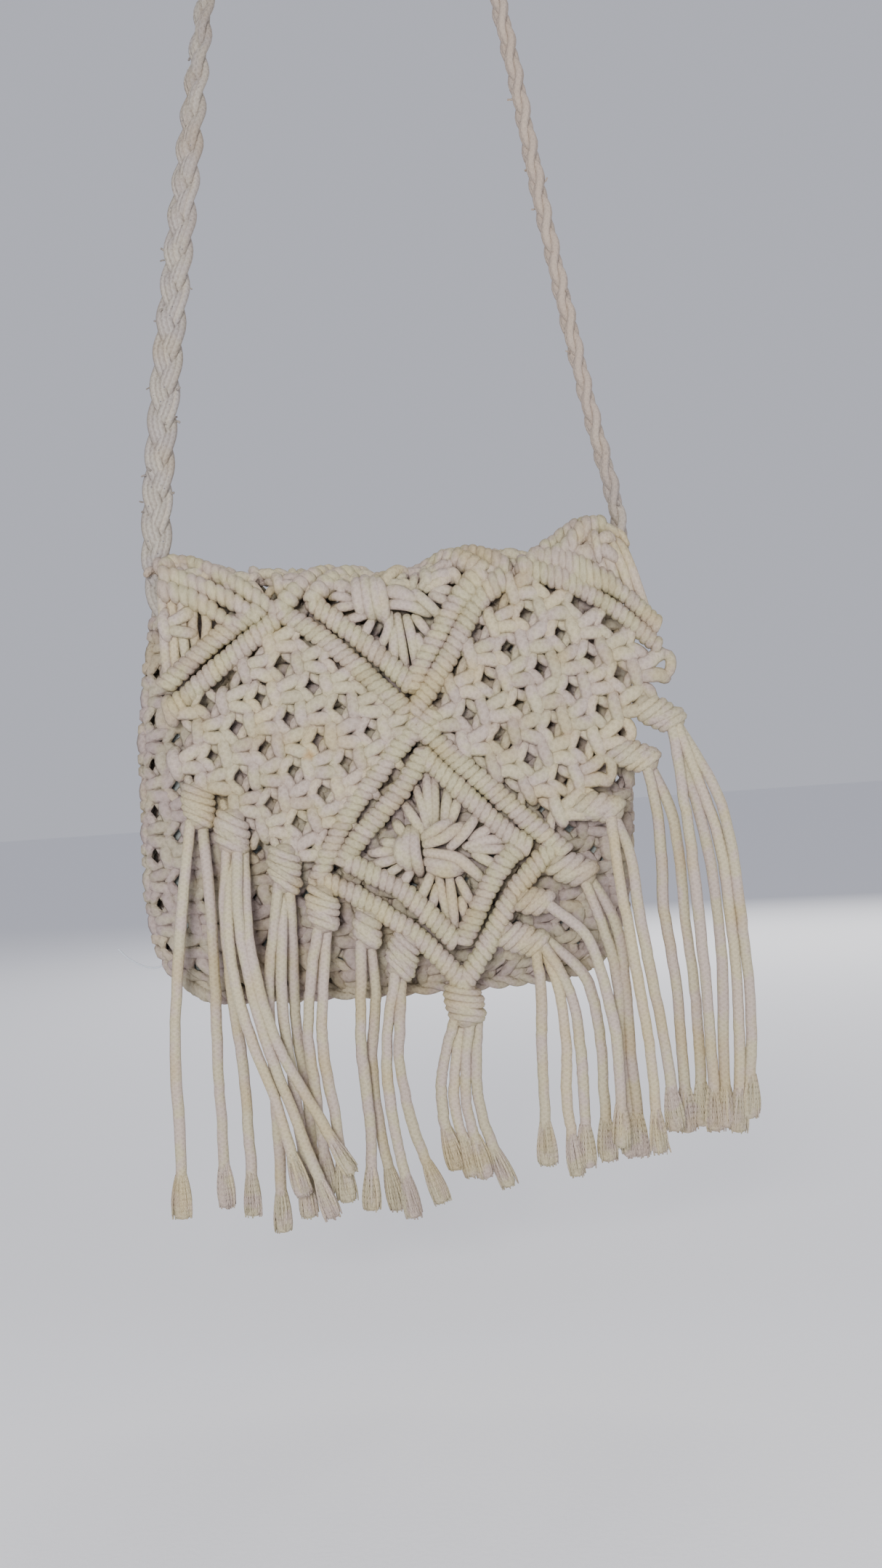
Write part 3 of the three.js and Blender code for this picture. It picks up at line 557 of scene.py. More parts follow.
def inside(place, edge):
    """Whether a place lies within a closed outline, by counting the sides it looks across."""
    x, y = place
    odd = False
    for (x0, y0), (x1, y1) in zip(edge, edge[1:] + edge[:1]):
        if (y0 > y) != (y1 > y) and x < x0 + (y - y0) * (x1 - x0) / (y1 - y0):
            odd = not odd
    return odd


def net_knot(net, knots, middle, right, up, depth=0.0, small=1.0):
    """Ties one knot at a flat place, along the net's own two directions."""
    right, up = np.array(right) / (KNOT_PITCH / 2), np.array(up) / KNOT_RISE
    middle = np.array(middle) + rng.normal(0, 0.3, 2)
    lean = rng.normal(0, 0.05)
    size = rng.normal(1.0, 0.03) * small

    def to_flap(points):
        x, y = points[:, :1] * size, points[:, 1:2] * size
        place = middle + (x - y * lean) * right + (y + x * lean) * up
        return np.column_stack([place, points[:, 2] + depth])

    net.place(knots[rng.integers(len(knots))], to_flap, rng.normal(0, 0.07))


fine_knots = [square_knot(8, 2.0) for _ in range(10)]
left_edge_knots = [square_knot(8, 2.0, (*BARE_KNOT, *TO_THE_RIGHT)) for _ in range(4)]
right_edge_knots = [square_knot(8, 2.0, (*BARE_KNOT, "edge_loop", *TO_THE_LEFT)) for _ in range(4)]
lone_knots = [square_knot(8, 2.0, BARE_KNOT) for _ in range(2)]
flap_net = Strands()
for field in NET_FIELDS:
    step, row_step = np.array(field["step"]), np.array(field["row"])
    for row in range(-4, 8):
        for column in range(-4, 8):
            x, z = field["hole"] + (column + 0.5) * step + (row + 0.5) * row_step
            if inside((x, z), field["edge"]):
                right, down = (step - row_step) / 2, (step + row_step) / 2
                knots = fine_knots
                if x + RIGHT_REACH > np.interp(-z, *RIGHT_EDGE):
                    knots = right_edge_knots
                elif x - LEFT_REACH < np.interp(-z, *LEFT_EDGE):
                    knots = left_edge_knots
                net_knot(flap_net, knots, (x, laid_flat(x, z)), right, -down)
fold_net = Strands()
for row in range(4):
    for column in range(-5, 6):
        x = (column + 0.5 * (row % 2)) * FOLD_KNOT_STEP - 4.0
        if abs(x - FOLD_NET_MIDDLE) < FOLD_NET_HALF_WIDTH:
            net_knot(fold_net, fine_knots, (x, FOLD_FIRST_ROW + FOLD_ROW_STEP * row),
                     (FOLD_KNOT_STEP / 2, 0), (0, 8.8), depth=-0.4, small=0.95)
for x, z in SMALL_FOLD_KNOTS:
    net_knot(fold_net, fine_knots, (x, laid_flat(x, z)), (8.5, 0), (0, 8.5), depth=-0.6,
             small=0.85)
for name, net in (("flap_net", flap_net), ("fold_net", fold_net)):
    piece = net.build(name, cream_cotton, over_fold)
    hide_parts("flap")


# The flap's bars: rows of clove hitches over a carrying cord, in pairs that frame the
# diamonds and cross at their corners. Each hitch is a ridge over the bar, about 3 mm wide.
BAR_OUT = 1.2
CARRIER_OUT = 0.8
CARRIER_HALF_THICK = 3.4
HITCH_RADIUS = 1.5
HITCH_HEIGHT = 3.6
HITCH_ARCH = np.radians(np.linspace(-35, 215, 11))
HITCH_LEAN = (0.6, 1.2)
BARS = [
    # hitch spacing and the bar's half width, then the bar's middle line in front view
    (3.7, 3.0, [(-91, 4.5), (-84, 5.5), (-71.1, 0.9), (-54.3, -9.5), (-47, -15)]),
    (3.7, 3.0, [(-91.5, 1.5), (-84.8, -0.2), (-74.2, -4.5), (-62.7, -10.7), (-54, -17)]),
    (3.8, 3.0, [(-92, -3.5), (-83.5, -6), (-74.7, -10.8), (-64, -18.8)]),
    (3.0, 4.3, [(-53, -13.5), (-66.1, -20.5), (-79, -30), (-92, -41)]),
    (3.0, 4.3, [(-47, -17), (-59, -26), (-73.6, -37), (-89.5, -50)]),
    (2.9, 4.3, [(-48, -13.5), (-33.1, -23.9), (-21, -34.9), (-10.6, -45.8), (0.5, -57)]),
    (2.9, 4.3, [(-34, -12), (-20.2, -23.9), (-10.7, -32.8), (-2.9, -40.8), (2.5, -46.5)]),
    (3.0, 4.3, [(2.5, -48.5), (7.4, -38.7), (13.6, -29), (19.8, -19.3), (25.9, -12.3), (33, -5.5)]),
    (3.0, 4.3, [(2.5, -58), (11.5, -45.5), (18.7, -34.9), (25, -24.3), (31.2, -15.4), (41, -8)]),
    (2.9, 4.3, [(11.5, -58), (-2.1, -68.5), (-13.1, -80.7), (-23.1, -92), (-30.4, -103.5),
                (-38, -118)]),
    (2.9, 4.3, [(6.5, -72.5), (-3.2, -85.1), (-12.2, -94.6), (-20.1, -102.4), (-29.5, -113.5)]),
    (2.9, 4.3, [(1.6, -60.5), (10.9, -69.1), (20.8, -79.5), (30, -88.2), (38.3, -96.7), (57, -115)]),
    (2.9, 4.3, [(5, -73.5), (16, -85.4), (26.7, -96.8), (35, -105.4), (43.5, -112)]),
    (2.9, 4.3, [(55, -112), (48.2, -116.1), (41.7, -122.7), (34.1, -132.1), (24.6, -147.8),
                (14, -163)]),
    (2.9, 4.3, [(41, -110.5), (34.8, -115.2), (29.4, -121.8), (23.7, -131.3), (15, -146.8)]),
    (2.9, 4.3, [(-27, -112), (-19.9, -116.4), (-7.5, -124.2), (3.7, -135.2), (13, -146.3)]),
    (2.9, 4.3, [(-38, -118.5), (-26.9, -123.8), (-12.8, -134), (-0.6, -144.1), (8, -153.5),
                (15, -162.5)]),
    (2.9, 3.6, [(47, -4.5), (56, -7.4), (67.2, -12.6), (78.3, -19.6), (87.5, -27.4), (98.5, -39)]),
    (2.9, 3.6, [(52, -1.5), (60.8, -2.4), (72.8, -8.6), (83.1, -14.6), (91.4, -22.3), (99, -31)]),
]
CLIMBING_BARS = [
    # foot in front view, then places over the fold as x and height on the flat flap
    (3.6, 3.8, (-46.5, -14.5), [(-38.4, 6.5), (-30, 15), (-20, 24)]),
    (3.6, 3.8, (-34, -12), [(-26.2, 9.5), (-20, 15), (-13, 21)]),
    (3.4, 3.8, (43, -5), [(32.5, 15), (23.3, 21), (14, 27)]),
    (3.4, 3.8, (34, -6), [(25, 12.5), (14, 18.5), (4, 24)]),
    (3.4, 3.8, (48, -6), [(58.7, 13.5), (68, 18), (78, 23)]),
    (3.4, 3.8, (57, -3.5), [(66, 10), (74, 14.5), (83, 18)]),
]


def hitched_bar(bars, line, spacing, half_width):
    """One bar on the flat flap: its carrying cord, and a hitch over it at every step."""
    fine = through(line, 240)
    length = length_along(fine)
    count = max(2, round(length[-1] / spacing))
    carrier = fine[::6]
    # The carrying cord gets a low tone: painted shade under its hitches
    bars.sweep(np.column_stack([carrier, np.full(len(carrier), CARRIER_OUT)]), half_width - 0.9,
               CARRIER_HALF_THICK, facing=(0, 0, 1), tone=0.15)
    bar_tone = rng.normal(0, 0.05)
    slant = rng.choice((-1, 1)) * rng.uniform(*HITCH_LEAN)
    for step in range(count):
        at = (step + 0.5) * length[-1] / count + rng.normal(0, 0.12)
        behind, middle, ahead = places_at(np.array([at - 0.8, at, at + 0.8]), length, fine)
        along = unit(ahead - behind)
        across = np.array([-along[1], along[0]])
        half = half_width * rng.normal(1, 0.045) - HITCH_RADIUS
        high = HITCH_HEIGHT * rng.normal(1, 0.04) * (1 if step % 2 else 0.95)
        flat = (middle + across * (np.cos(HITCH_ARCH) * half)[:, None]
                + along * (slant * np.cos(HITCH_ARCH))[:, None])
        arc = np.column_stack([flat, BAR_OUT + high * np.sin(HITCH_ARCH)])
        bars.sweep(arc, HITCH_RADIUS, spacing * 0.6, facing=np.array([along[0], along[1], 0.0]),
                   sides=10, tone=0.52 + bar_tone + rng.normal(0, 0.09))


flap_bars = Strands()
for spacing, half_width, line in BARS:
    hitched_bar(flap_bars, [(x, laid_flat(x, z)) for x, z in line], spacing, half_width)
for spacing, half_width, foot, over in CLIMBING_BARS:
    hitched_bar(flap_bars, [(foot[0], laid_flat(*foot)), *over], spacing, half_width)
handled_cotton = cotton_material(
    "handled_cotton", cream=(0.565, 0.52, 0.345, 1), lilac=(0.565, 0.475, 0.40, 1),
    warm=(0.55, 0.455, 0.255, 1))
# Painted shade in the creases between the hitches and under the bars
flap_bars.paint_crease_shade(0.0, 4.0)
flap_bars_piece = flap_bars.build("flap_bars", handled_cotton, over_fold)
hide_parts("flap")


# The star knots: in each diamond the cords are bunched by one large square knot, three cords
# wide, and spread from it to the bars all round like the spokes of a wheel.
STAR_STEPS = 14
STARS = {
    # each cord's line in front view: those that hold the knot, the band they hold, and the spokes
    "star_knot_lower": {
        "hold": [
            [(-5, -105), (-6, -110), (-5, -115.5)], [(-2, -101.5), (-4, -110), (-3, -117.5)],
            [(0, -101), (-0.5, -110), (1, -119)],
        ],
        "band": [
            [(3, -105.5), (9, -102), (14.5, -100)],
            [(3.5, -108), (10.5, -106), (15.5, -103), (19.5, -102)],
            [(13, -110), (19, -104.5), (24, -98.5)],
            [(3.5, -111), (14.5, -113.5), (20, -118), (24.5, -123)],
            [(3.5, -114.5), (10.5, -116.5), (18.5, -118)], [(4.5, -117), (10.5, -119), (16.5, -119)],
        ],
        "spoke": [
            [(3.5, -104), (-3, -92.5)], [(5, -104), (4, -95.5), (1.5, -85.5)], [(6, -101), (6, -80.5)],
            [(8, -101), (9, -82)], [(11.5, -100.5), (14, -87)], [(14.5, -99.5), (17.5, -91.5)],
            [(-4.5, -103.5), (-7, -99)], [(-7, -107), (-12.5, -106)], [(-8, -109.5), (-17.5, -110)],
            [(-7, -112.5), (-17, -114.5)], [(-6, -115.5), (-12, -118.5)], [(-2.5, -118), (-6.5, -123)],
            [(21, -107), (30, -103)], [(18.5, -110), (27, -108), (35.5, -108.5)],
            [(20.5, -111), (36, -112)], [(22, -113), (30.5, -118)], [(5.5, -119), (0, -129.5)],
            [(7, -124), (4.5, -133)], [(8, -120.5), (9, -128), (11, -139)],
            [(12, -121), (12.5, -130), (13, -141)], [(15.5, -122), (20, -132)],
            [(16, -129.5), (17, -137)],
        ],
    },
    "star_knot_upper": {
        "hold": [
            [(-16, -5.5), (-15.5, -12.5), (-14.5, -18.5)], [(-13, -4.5), (-12, -12.5), (-10.5, -20)],
            [(-10, -5.5), (-8.5, -13), (-7, -20)], [(-8, -6), (-6, -13), (-5.5, -21.5)],
        ],
        "band": [
            [(-6.5, -8.5), (-0.5, -5), (5, -4)], [(-5.5, -11), (1, -12), (9.5, -15.5)],
            [(-4.5, -15), (3, -16), (11.5, -19.5)], [(6, -11.5), (10.5, -15.5), (15.5, -21)],
        ],
        "spoke": [
            [(-2.5, -9), (4, -8)], [(5, -10.5), (8, -2.5)], [(9, -10), (12.5, -4.5), (17.5, -3)],
            [(10.5, -10.5), (22.5, -5)], [(13, -11), (21, -11)], [(12.5, -12.5), (19, -15.5)],
            [(-18, -12), (-26, -10)], [(-16, -14), (-25, -15)], [(-13, -18.5), (-20.5, -20)],
            [(-11, -21), (-15, -27.5)], [(-4, -18), (-5, -25.5), (-9.5, -33)],
            [(-2.5, -24), (-3.5, -38)], [(-1, -19), (0, -30), (1, -41)],
            [(2.5, -20), (4, -28.5), (5, -39.5)], [(5.5, -20), (11, -28)], [(6, -28), (8, -35)],
            [(-16.5, -1), (-17, -7)], [(-22.5, -4), (-21.5, -10.5)], [(-4, 0.5), (-7, -7)],
            [(0, 0), (1, -7)], [(13, 1), (9, -6)],
        ],
    },
}
# How far out a cord lies at even steps along it: held down at its ends, or diving under a bar
STAR_LIES = {
    "hold": (2.35, (-1.0, 3.6, 5.3, 5.5, 5.3, 3.6, -1.0)),
    "band": (2.25, (1.8, 3.9, 4.4, 3.4, -0.4)),
    "spoke": (2.0, (0.6, 1.6, 1.7, 1.0, -1.6)),
}


def to_flat(line, depths):
    """A line in front view, with how far out it lies at each place, on the flat flap."""
    return np.array([(x, laid_flat(x, z), depth) for (x, z), depth in zip(line, depths)])


for node, star in STARS.items():
    cords = Strands()
    for lie, (radius, depths) in STAR_LIES.items():
        for line in star[lie]:
            lift = 0.0 if lie == "hold" else rng.uniform(-0.6, 0.6)
            line = through(line, STAR_STEPS)
            depth = through([(value + lift, 0.0) for value in depths], STAR_STEPS)[:, 0]
            leaf = 0.82 + 0.22 * np.sin(np.linspace(0.2, np.pi - 0.2, STAR_STEPS))
            cords.sweep(to_flat(line, depth), radius * rng.normal(1, 0.05), sides=9,
                        tone=rng.normal(0.62 if lie == "spoke" else 0.55, 0.1), swell=leaf)
    # Painted shade in the star's creases, where its cords dive under the bars
    cords.paint_crease_shade(-0.5, 3.0)
    piece = cords.build(node + "_cords", cream_cotton, over_fold)
    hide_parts(node)


# The half diamonds at the flap's two sides: at the left, cords that run down the edge through
# one square knot; at the right, four cords that run slanting down the edge.
SIDE_CORD_RADIUS = 2.0
SIDE_CORD_LIES = np.array([-1.5, 0.6, 1.0, 0.6, -1.8])
SIDE_CORDS = {
    # each cord's line in front view, and its knot's place and size
    "star_knot_left": {
        "cords": [
            [(-91.5, 1), (-91.3, -8), (-91, -17), (-91.2, -28), (-90, -40)],
            [(-87.5, 0), (-87.7, -8), (-87, -17), (-87.6, -27), (-87, -38)],
            [(-83.5, -3), (-83.6, -9), (-84, -17), (-83.6, -25), (-83, -33)],
            [(-79.5, -8), (-79.5, -12), (-80, -18), (-79.5, -23), (-79, -28)],
            [(-75, -11), (-74.6, -14), (-74.4, -18), (-75, -22), (-76, -26)],
        ],
        "knot": (-85.5, -17.5, 0.9),
    },
    "star_knot_right": {
        "cords": [
            [(73, 6), (75.5, 2), (77.5, -2), (79.5, -6), (81.5, -11)],
            [(77, 7), (79.5, 2.5), (81.5, -2), (83.5, -8), (85.5, -14)],
            [(81.5, 7), (84, 2), (86, -4), (88, -11), (90, -19)],
            [(85.5, 6), (87.8, 1), (90, -6), (92.3, -14), (95, -24)],
        ],
        "knot": (80.5, 1.5, 0.62),
    },
}
for node, side in SIDE_CORDS.items():
    cords = Strands()
    for line in side["cords"]:
        depths = SIDE_CORD_LIES + rng.normal(0, 0.3)
        cords.sweep(through(to_flat(line, depths), 16), SIDE_CORD_RADIUS, sides=9,
                    tone=rng.normal(0.62, 0.12))
    x, z, small = side["knot"]
    net_knot(cords, lone_knots, (x, laid_flat(x, z)), (KNOT_PITCH / 2, 0), (0, KNOT_RISE),
             depth=1.4, small=small)
    piece = cords.build(node + "_cords", cream_cotton, over_fold)
    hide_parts(node)


# The tassels: along the flap's edge the working cords are gathered by a knot of three to five
# slanting turns and one across them, hang free for up to 160 mm, and end in 15 mm of open yarns.
TASSELS = [
    # knot's place, length, width, turn from straight down and y, then each cord's y and line
    ((-81.9, -87), 13.9, 12.5, -3, -19.2, [
        (-24, [(-85, -93), (-90, -124), (-96, -167), (-97, -212), (-98, -243)]),
        (-24, [(-81, -93), (-80, -124), (-80, -160), (-81, -200), (-81, -240)])]),
    ((-69.7, -98), 13.3, 13.5, -8, -20.4, [
        (-24, [(-72, -104), (-74, -127), (-73.5, -155), (-71, -192), (-71, -244)]),
        (-31, [(-70, -104), (-72, -136), (-69, -166), (-59, -200), (-51, -236)]),
        (-31, [(-68, -104), (-68, -133), (-62, -172), (-52, -206), (-40, -245)]),
        (-31, [(-66, -104), (-65, -139), (-58, -174), (-44, -205), (-32, -229)])]),
    ((-50.5, -113.4), 14.5, 12.8, -4, -21.8, [
        (-24, [(-53, -119), (-56, -136), (-60, -165), (-60, -205), (-60, -251)]),
        (-24, [(-51, -119), (-53, -140), (-54, -165), (-52, -200), (-50, -246)]),
        (-18.3, [(-49, -119), (-50, -144), (-51, -175), (-48, -205), (-47, -240)])]),
    ((-37, -129.6), 14.2, 12.5, -4, -21.8, [
        (-24, [(-39, -137), (-43, -155), (-45.5, -178), (-43.5, -208), (-42, -238)]),
        (-24, [(-36, -137), (-38, -155), (-40, -180), (-37, -213), (-35, -241)])]),
    ((-20.5, -138.6), 11, 11, -10, -21.6, [
        (-24, [(-23, -143), (-24, -158), (-26, -185), (-25, -215), (-26, -245)]),
        (-18.3, [(-20, -143), (-19, -163), (-22, -188), (-21, -216), (-16, -247)])]),
    ((-7.9, -149.6), 13.3, 12.6, -22, -21, [
        (-24, [(-10.5, -154), (-14, -170), (-16.5, -190), (-15, -216), (-10, -249)]),
        (-24, [(-8.5, -155), (-10.5, -171), (-12, -192), (-6.5, -220), (1, -244)])]),
    ((14.5, -169.8), 13.8, 14.5, 4, -18.5, [
        (-18.5, [(11, -174), (6, -187), (3, -201), (4, -216), (8, -233)]),
        (-18.5, [(14, -174), (10, -189), (8, -205), (10, -220), (13, -236)]),
        (-18.5, [(16, -174), (14, -189), (12.5, -205), (14.5, -220), (18, -237)]),
        (-18.5, [(19, -174), (17, -192), (17, -207), (21, -224), (27, -241)])]),
    ((38.6, -146.8), 15.5, 11.6, 66, -19.5, [
        (-22, [(43, -149), (43.5, -166), (42.5, -186), (42, -208), (42, -233)]),
        (-22, [(45, -148.5), (50, -166), (51.5, -188), (51, -211), (53, -238)]),
        (-22, [(45, -147), (55, -168), (57, -189), (57, -211), (57, -235)]),
        (-22, [(45, -145), (61, -163), (65, -187), (65, -208), (65, -233)])]),
    ((43.9, -132.5), 10.8, 10.6, 72, -21.4, [
        (-28, [(47, -132.5), (61, -146), (67, -165), (70.5, -188), (70, -227)])]),
    ((59.2, -121.4), 14, 12.4, 60, -20.6, [
        (-22, [(63, -125), (69, -145), (73, -165), (73, -195), (74, -232)]),
        (-22, [(64, -122), (74, -142), (77, -165), (77, -195), (78, -232)])]),
    ((70.8, -98.3), 15.6, 11.2, 70, -19.5, [
        (-28, [(75, -100.5), (75, -118), (78, -142), (82, -178), (84, -230)]),
        (-28, [(76, -100), (81, -118), (84, -149), (88, -180), (91, -222)])]),
    ((85.6, -79.6), 15.8, 11.6, 62, -18.5, [
        (-22, [(90, -83), (93, -107), (93.5, -140), (96, -175), (96, -224)]),
        (-22, [(91, -81.5), (98.5, -107), (100, -142), (102, -177), (102, -222)])]),
    ((96.5, -64.4), 16.4, 11.8, 55, -18.5, [
        (-28, [(101, -68), (104, -110), (105.5, -152), (106, -187), (106, -223)]),
        (-28, [(101.5, -67.5), (109, -112), (112, -152), (111, -187), (110, -222)]),
        (-28, [(102, -67), (113.5, -112), (117, -157), (117, -190), (114, -224)]),
        (-28, [(102.5, -66.5), (117, -103), (121.5, -155), (121.5, -187), (118, -219)])]),
]
STEEP_TURN = 30
STEEP_LEAN = (1.8, 2.6)
PLAIN_LEAN = (1.7, 2.5)
SHORT_KNOT = 11.5
TURN_RADIUS = 1.75
ENTRY_RADIUS = 1.8
ENTRY_LANES = (-1.4, 0.1, 1.5)
FRINGE_RADIUS = 2.15
FRINGE_STEPS = 46
FRAY_LENGTH = 15.0
FRAY_FIBRES = 44
FRAY_HALF_DEPTH = 2.3
towards_viewer = np.array([0.0, -1.0, 0.0])


def wrapped_knot(cords, at, long, wide, turn, y):
    """The gathering knot: three to five slanting turns round the bundle, one that crosses them,
    and above it the three cords that come out of the net."""
    steep = abs(turn) > STEEP_TURN
    turn = math.radians(turn)
    down = np.array([math.sin(turn), 0.0, -math.cos(turn)])
    across = np.array([math.cos(turn), 0.0, math.sin(turn)])
    middle = np.array([at[0], y, at[1]])
    core = [middle + down * long * share for share in (-0.5, -0.2, 0.2, 0.5)]
    # The bundle's core gets a low tone: painted shade inside the turns
    cords.sweep(core, wide * 0.36, tone=0.2)
    count = int(rng.integers(4, 6)) if long > SHORT_KNOT else 3
    lean = rng.uniform(*(STEEP_LEAN if steep else PLAIN_LEAN))
    # each turn: its share of the way down, its slope, and how far it stands proud
    wraps = [((ring + 0.5) / count - 0.5, lean * rng.normal(1, 0.12), 0.0) for ring in range(count)]
    wraps.append((0.12, lean * 1.9, 0.25))
    for share, slope, proud in wraps:
        radius = wide / 2 * (1.04 - 3.2 * share**4) - 1.5 + proud + rng.normal(0, 0.15)
        phase = np.linspace(-0.1, math.tau + 0.1, 26) + math.pi / 2
        path = (middle + down * (share * long * 0.92) + across * (radius * np.cos(phase))[:, None]
                + towards_viewer * (radius * 0.92 * np.sin(phase))[:, None]
                + down * (slope * np.cos(phase))[:, None])
        cords.sweep(path, TURN_RADIUS, long / count * 0.56, facing=down, sides=8,
                    tone=rng.normal(0.55, 0.1))
    top = middle - down * long * 0.42
    for lane in ENTRY_LANES:
        within = middle - down * long * 0.2 + across * lane
        mouth = top + across * lane * 1.6 + towards_viewer * 0.6
        far = top - down * 5.5 + across * lane * 3.2 - towards_viewer * 2.5
        cords.sweep(through([within, mouth, far], 8), ENTRY_RADIUS, tone=rng.normal(0.6, 0.1))


def frayed_end(cords, path):
    """The braid opened out: a flat brush of loose yarns, some longer and some bent aside."""
    start, tip = path[0], path[-1]
    along = unit(tip - start)
    side = unit(np.cross(along, (0, 1, 0)))
    front = np.cross(side, along)
    reach = np.linalg.norm(tip - start)
    half_wide = rng.uniform(3.0, 4.1)
    swell = np.array([0.62, 0.9, 1.15, 1.25, 1.2])
    centre = [start + along * reach * share for share in (-0.05, 0.22, 0.5, 0.75, 0.92)]
    cords.sweep(centre, half_wide * 0.72, 1.9, facing=(0, 1, 0), sides=10, tone=0.4, swell=swell)
    for _ in range(FRAY_FIBRES):
        turn = rng.uniform(0, math.tau)
        out = math.sqrt(rng.uniform(0.25, 1))
        wide, deep = half_wide * out * math.cos(turn), FRAY_HALF_DEPTH * out * math.sin(turn)
        far = reach * rng.uniform(0.86, 1.04)
        stray = rng.normal(0, 0.35, 2) * (3.0 if rng.uniform() < 0.06 else 1.0)
        base = start + side * wide * 0.5 + front * deep * 0.75
        points = [base - along * 1.5,
                  base + along * far * 0.3 + side * wide * 0.35 + front * deep * 0.3,
                  start + along * far * 0.7 + side * (wide * 1.05 + stray[0] * 0.4) + front * deep * 1.1,
                  start + along * far + side * (wide * 1.0 + stray[0]) + front * (deep * 0.9 + stray[1])]
        cords.sweep(through(points, 6), rng.uniform(0.38, 0.62), sides=5, tone=rng.normal(0.5, 0.2),
                    swell=np.array([1, 1.1, 1.1, 1, 0.85, 0.5]))


for number, (at, long, wide, turn, y, fringe) in enumerate(TASSELS, start=1):
    cords = Strands()
    wrapped_knot(cords, at, long, wide, turn, y)
    for order, (lane, route) in enumerate(fringe):
        first_y = y + (1.8 if order % 2 else -1.6)
        route = np.array([(x, first_y if index == 0 else lane, z) for index, (x, z) in enumerate(route)])
        path = through(route, 90)
        length = length_along(path)
        even = places_at(np.linspace(0, length[-1] - FRAY_LENGTH * 0.9, FRINGE_STEPS), length, path)
        sway = np.cumsum(rng.normal(0, 0.11, (FRINGE_STEPS, 3)), axis=0)
        sway -= np.linspace(0, 1, FRINGE_STEPS)[:, None] * sway[-1]
        waves = np.linspace(0, rng.uniform(8, 14), FRINGE_STEPS) + rng.uniform(0, 6)
        cords.sweep(even + sway * (1, 0.4, 0.3), FRINGE_RADIUS, sides=10,
                    tone=rng.normal(0.58, 0.12), swell=1 + 0.04 * np.sin(waves))
        last = np.linspace(length[-1] - FRAY_LENGTH, length[-1], 8)
        frayed_end(cords, places_at(last, length, path))
    name = f"tassel_{number:02d}"
    piece = cords.build(name + "_cords", cream_cotton)
    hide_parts(name)


# The strap: a flat three-strand braid, three cords to a strand, about 1.06 m round. It lies
# flat to the viewer low on the left and stands edge on at the right; its cotton has pilled.
HANG_X, _, HANG_DROP = -BAG_ZERO
MOUTH = -12.0
STRAP_THICK = 8.0
STRAP_BEND = 9.0
STRAP_TURN_STARTS = 60.0
STRAP_TURN_ENDS = 330.0
STRAP_LEFT = [(-92.5, MOUTH + 0.3), (-94.2, 16), (-86.6, 77), (-69.8, 175), (-42, 330)]
STRAP_RIGHT = [(86.8, MOUTH + 0.3), (88.2, 14.8), (78.8, 66), (67, 139), (56.8, 212), (34.5, 340)]
BRAID_PERIOD = 41.4
BRAID_SWING = 2.75
BRAID_DEPTH = 1.45
BRAID_CORD = 1.75
BRAID_SPACING = 1.75
BRAID_HALF_WIDTH = 5.6
BRAID_HALF_THICK = 3.0
BURRS = 110
# The right leg is warmer in its lower half: place, radius, colour and strength of the patch
WARM_PATCH = ((66, 0, 140), 150, (0.46, 0.365, 0.295, 1), 0.7)

bend_foot = HANG_DROP - STRAP_BEND + STRAP_THICK / 2
over_peg = [(HANG_X + STRAP_BEND * math.cos(turn), bend_foot + STRAP_BEND * math.sin(turn))
            for turn in np.linspace(math.pi, 0, 6)]


def to_the_peg(leg_end, peg_side):
    """Places from the last one of a leg to the peg, closer and closer together."""
    return [tuple(np.array(leg_end) * (1 - share) + np.array(peg_side) * share)
            for share in (0.4, 0.7, 0.87, 0.95)]


strap_line_points = [*STRAP_LEFT, *to_the_peg(STRAP_LEFT[-1], over_peg[0]), *over_peg,
                     *reversed(to_the_peg(STRAP_RIGHT[-1], over_peg[-1])), *reversed(STRAP_RIGHT)]
strap_route = through([(x, 0.0, z) for x, z in strap_line_points], 2400)
strap_length = length_along(strap_route)
strap_places = np.linspace(0, strap_length[-1], 520)
strap_line = places_at(strap_places, strap_length, strap_route)
strap_along = unit(np.gradient(strap_line, axis=0))
level = unit(np.cross(strap_along, (0, 1, 0)))
# On the left leg the braid turns from flat at the foot to edge on near the top
share_up = (strap_line[:, 2] - STRAP_TURN_STARTS) / (STRAP_TURN_ENDS - STRAP_TURN_STARTS)
share_up = np.clip(share_up, 0, 1)
share_up = np.where(strap_places < strap_length[-1] / 2, share_up**2 * (3 - 2 * share_up), 1.0)
quarter = share_up[:, None] * math.pi / 2
strap_flat = level * np.cos(quarter) + np.array([0.0, 1.0, 0.0]) * np.sin(quarter)
strap_out = np.cross(strap_along, strap_flat)

braid = Strands()
for strand in range(3):
    phase = math.tau * (strap_places / BRAID_PERIOD + strand / 3)
    swing = BRAID_SWING * np.sin(phase)
    slope = BRAID_SWING * math.tau / BRAID_PERIOD * np.cos(phase)
    for lane in (-1, 0, 1):
        offset = lane * BRAID_SPACING / np.sqrt(1 + slope**2)
        over = np.sin(2 * phase)
        depth = BRAID_DEPTH * over + (0.35 if lane == 0 else 0.0) * np.sign(over)
        line = (strap_line + strap_flat * (swing + offset)[:, None]
                - strap_along * (offset * slope)[:, None] + strap_out * depth[:, None])
        swell = 1 + 0.05 * np.sin(strap_places / 9.0 + rng.uniform(0, 6))
        # Each braid cord's sides are painted darker: shade between the cords of the braid
        braid.sweep(line, BRAID_CORD, BRAID_CORD * 0.9, facing=strap_out, sides=8,
                    tone=rng.normal(0.62, 0.12), swell=swell, flank_shade=0.6)
for _ in range(BURRS):
    index = int(rng.integers(4, len(strap_line) - 4))
    turn = rng.normal(0 if rng.uniform() < 0.5 else math.pi, 0.7)
    flat, front = strap_flat[index] * math.cos(turn), strap_out[index] * math.sin(turn)
    out = unit(flat + front * 0.7)
    base = strap_line[index] + flat * BRAID_HALF_WIDTH + front * BRAID_HALF_THICK
    path = through([base, base + out * 0.7, base + out * 1.3 + rng.normal(0, 0.5, 3)], 5)
    braid.sweep(path, rng.uniform(0.25, 0.5), sides=5, tone=0.0)
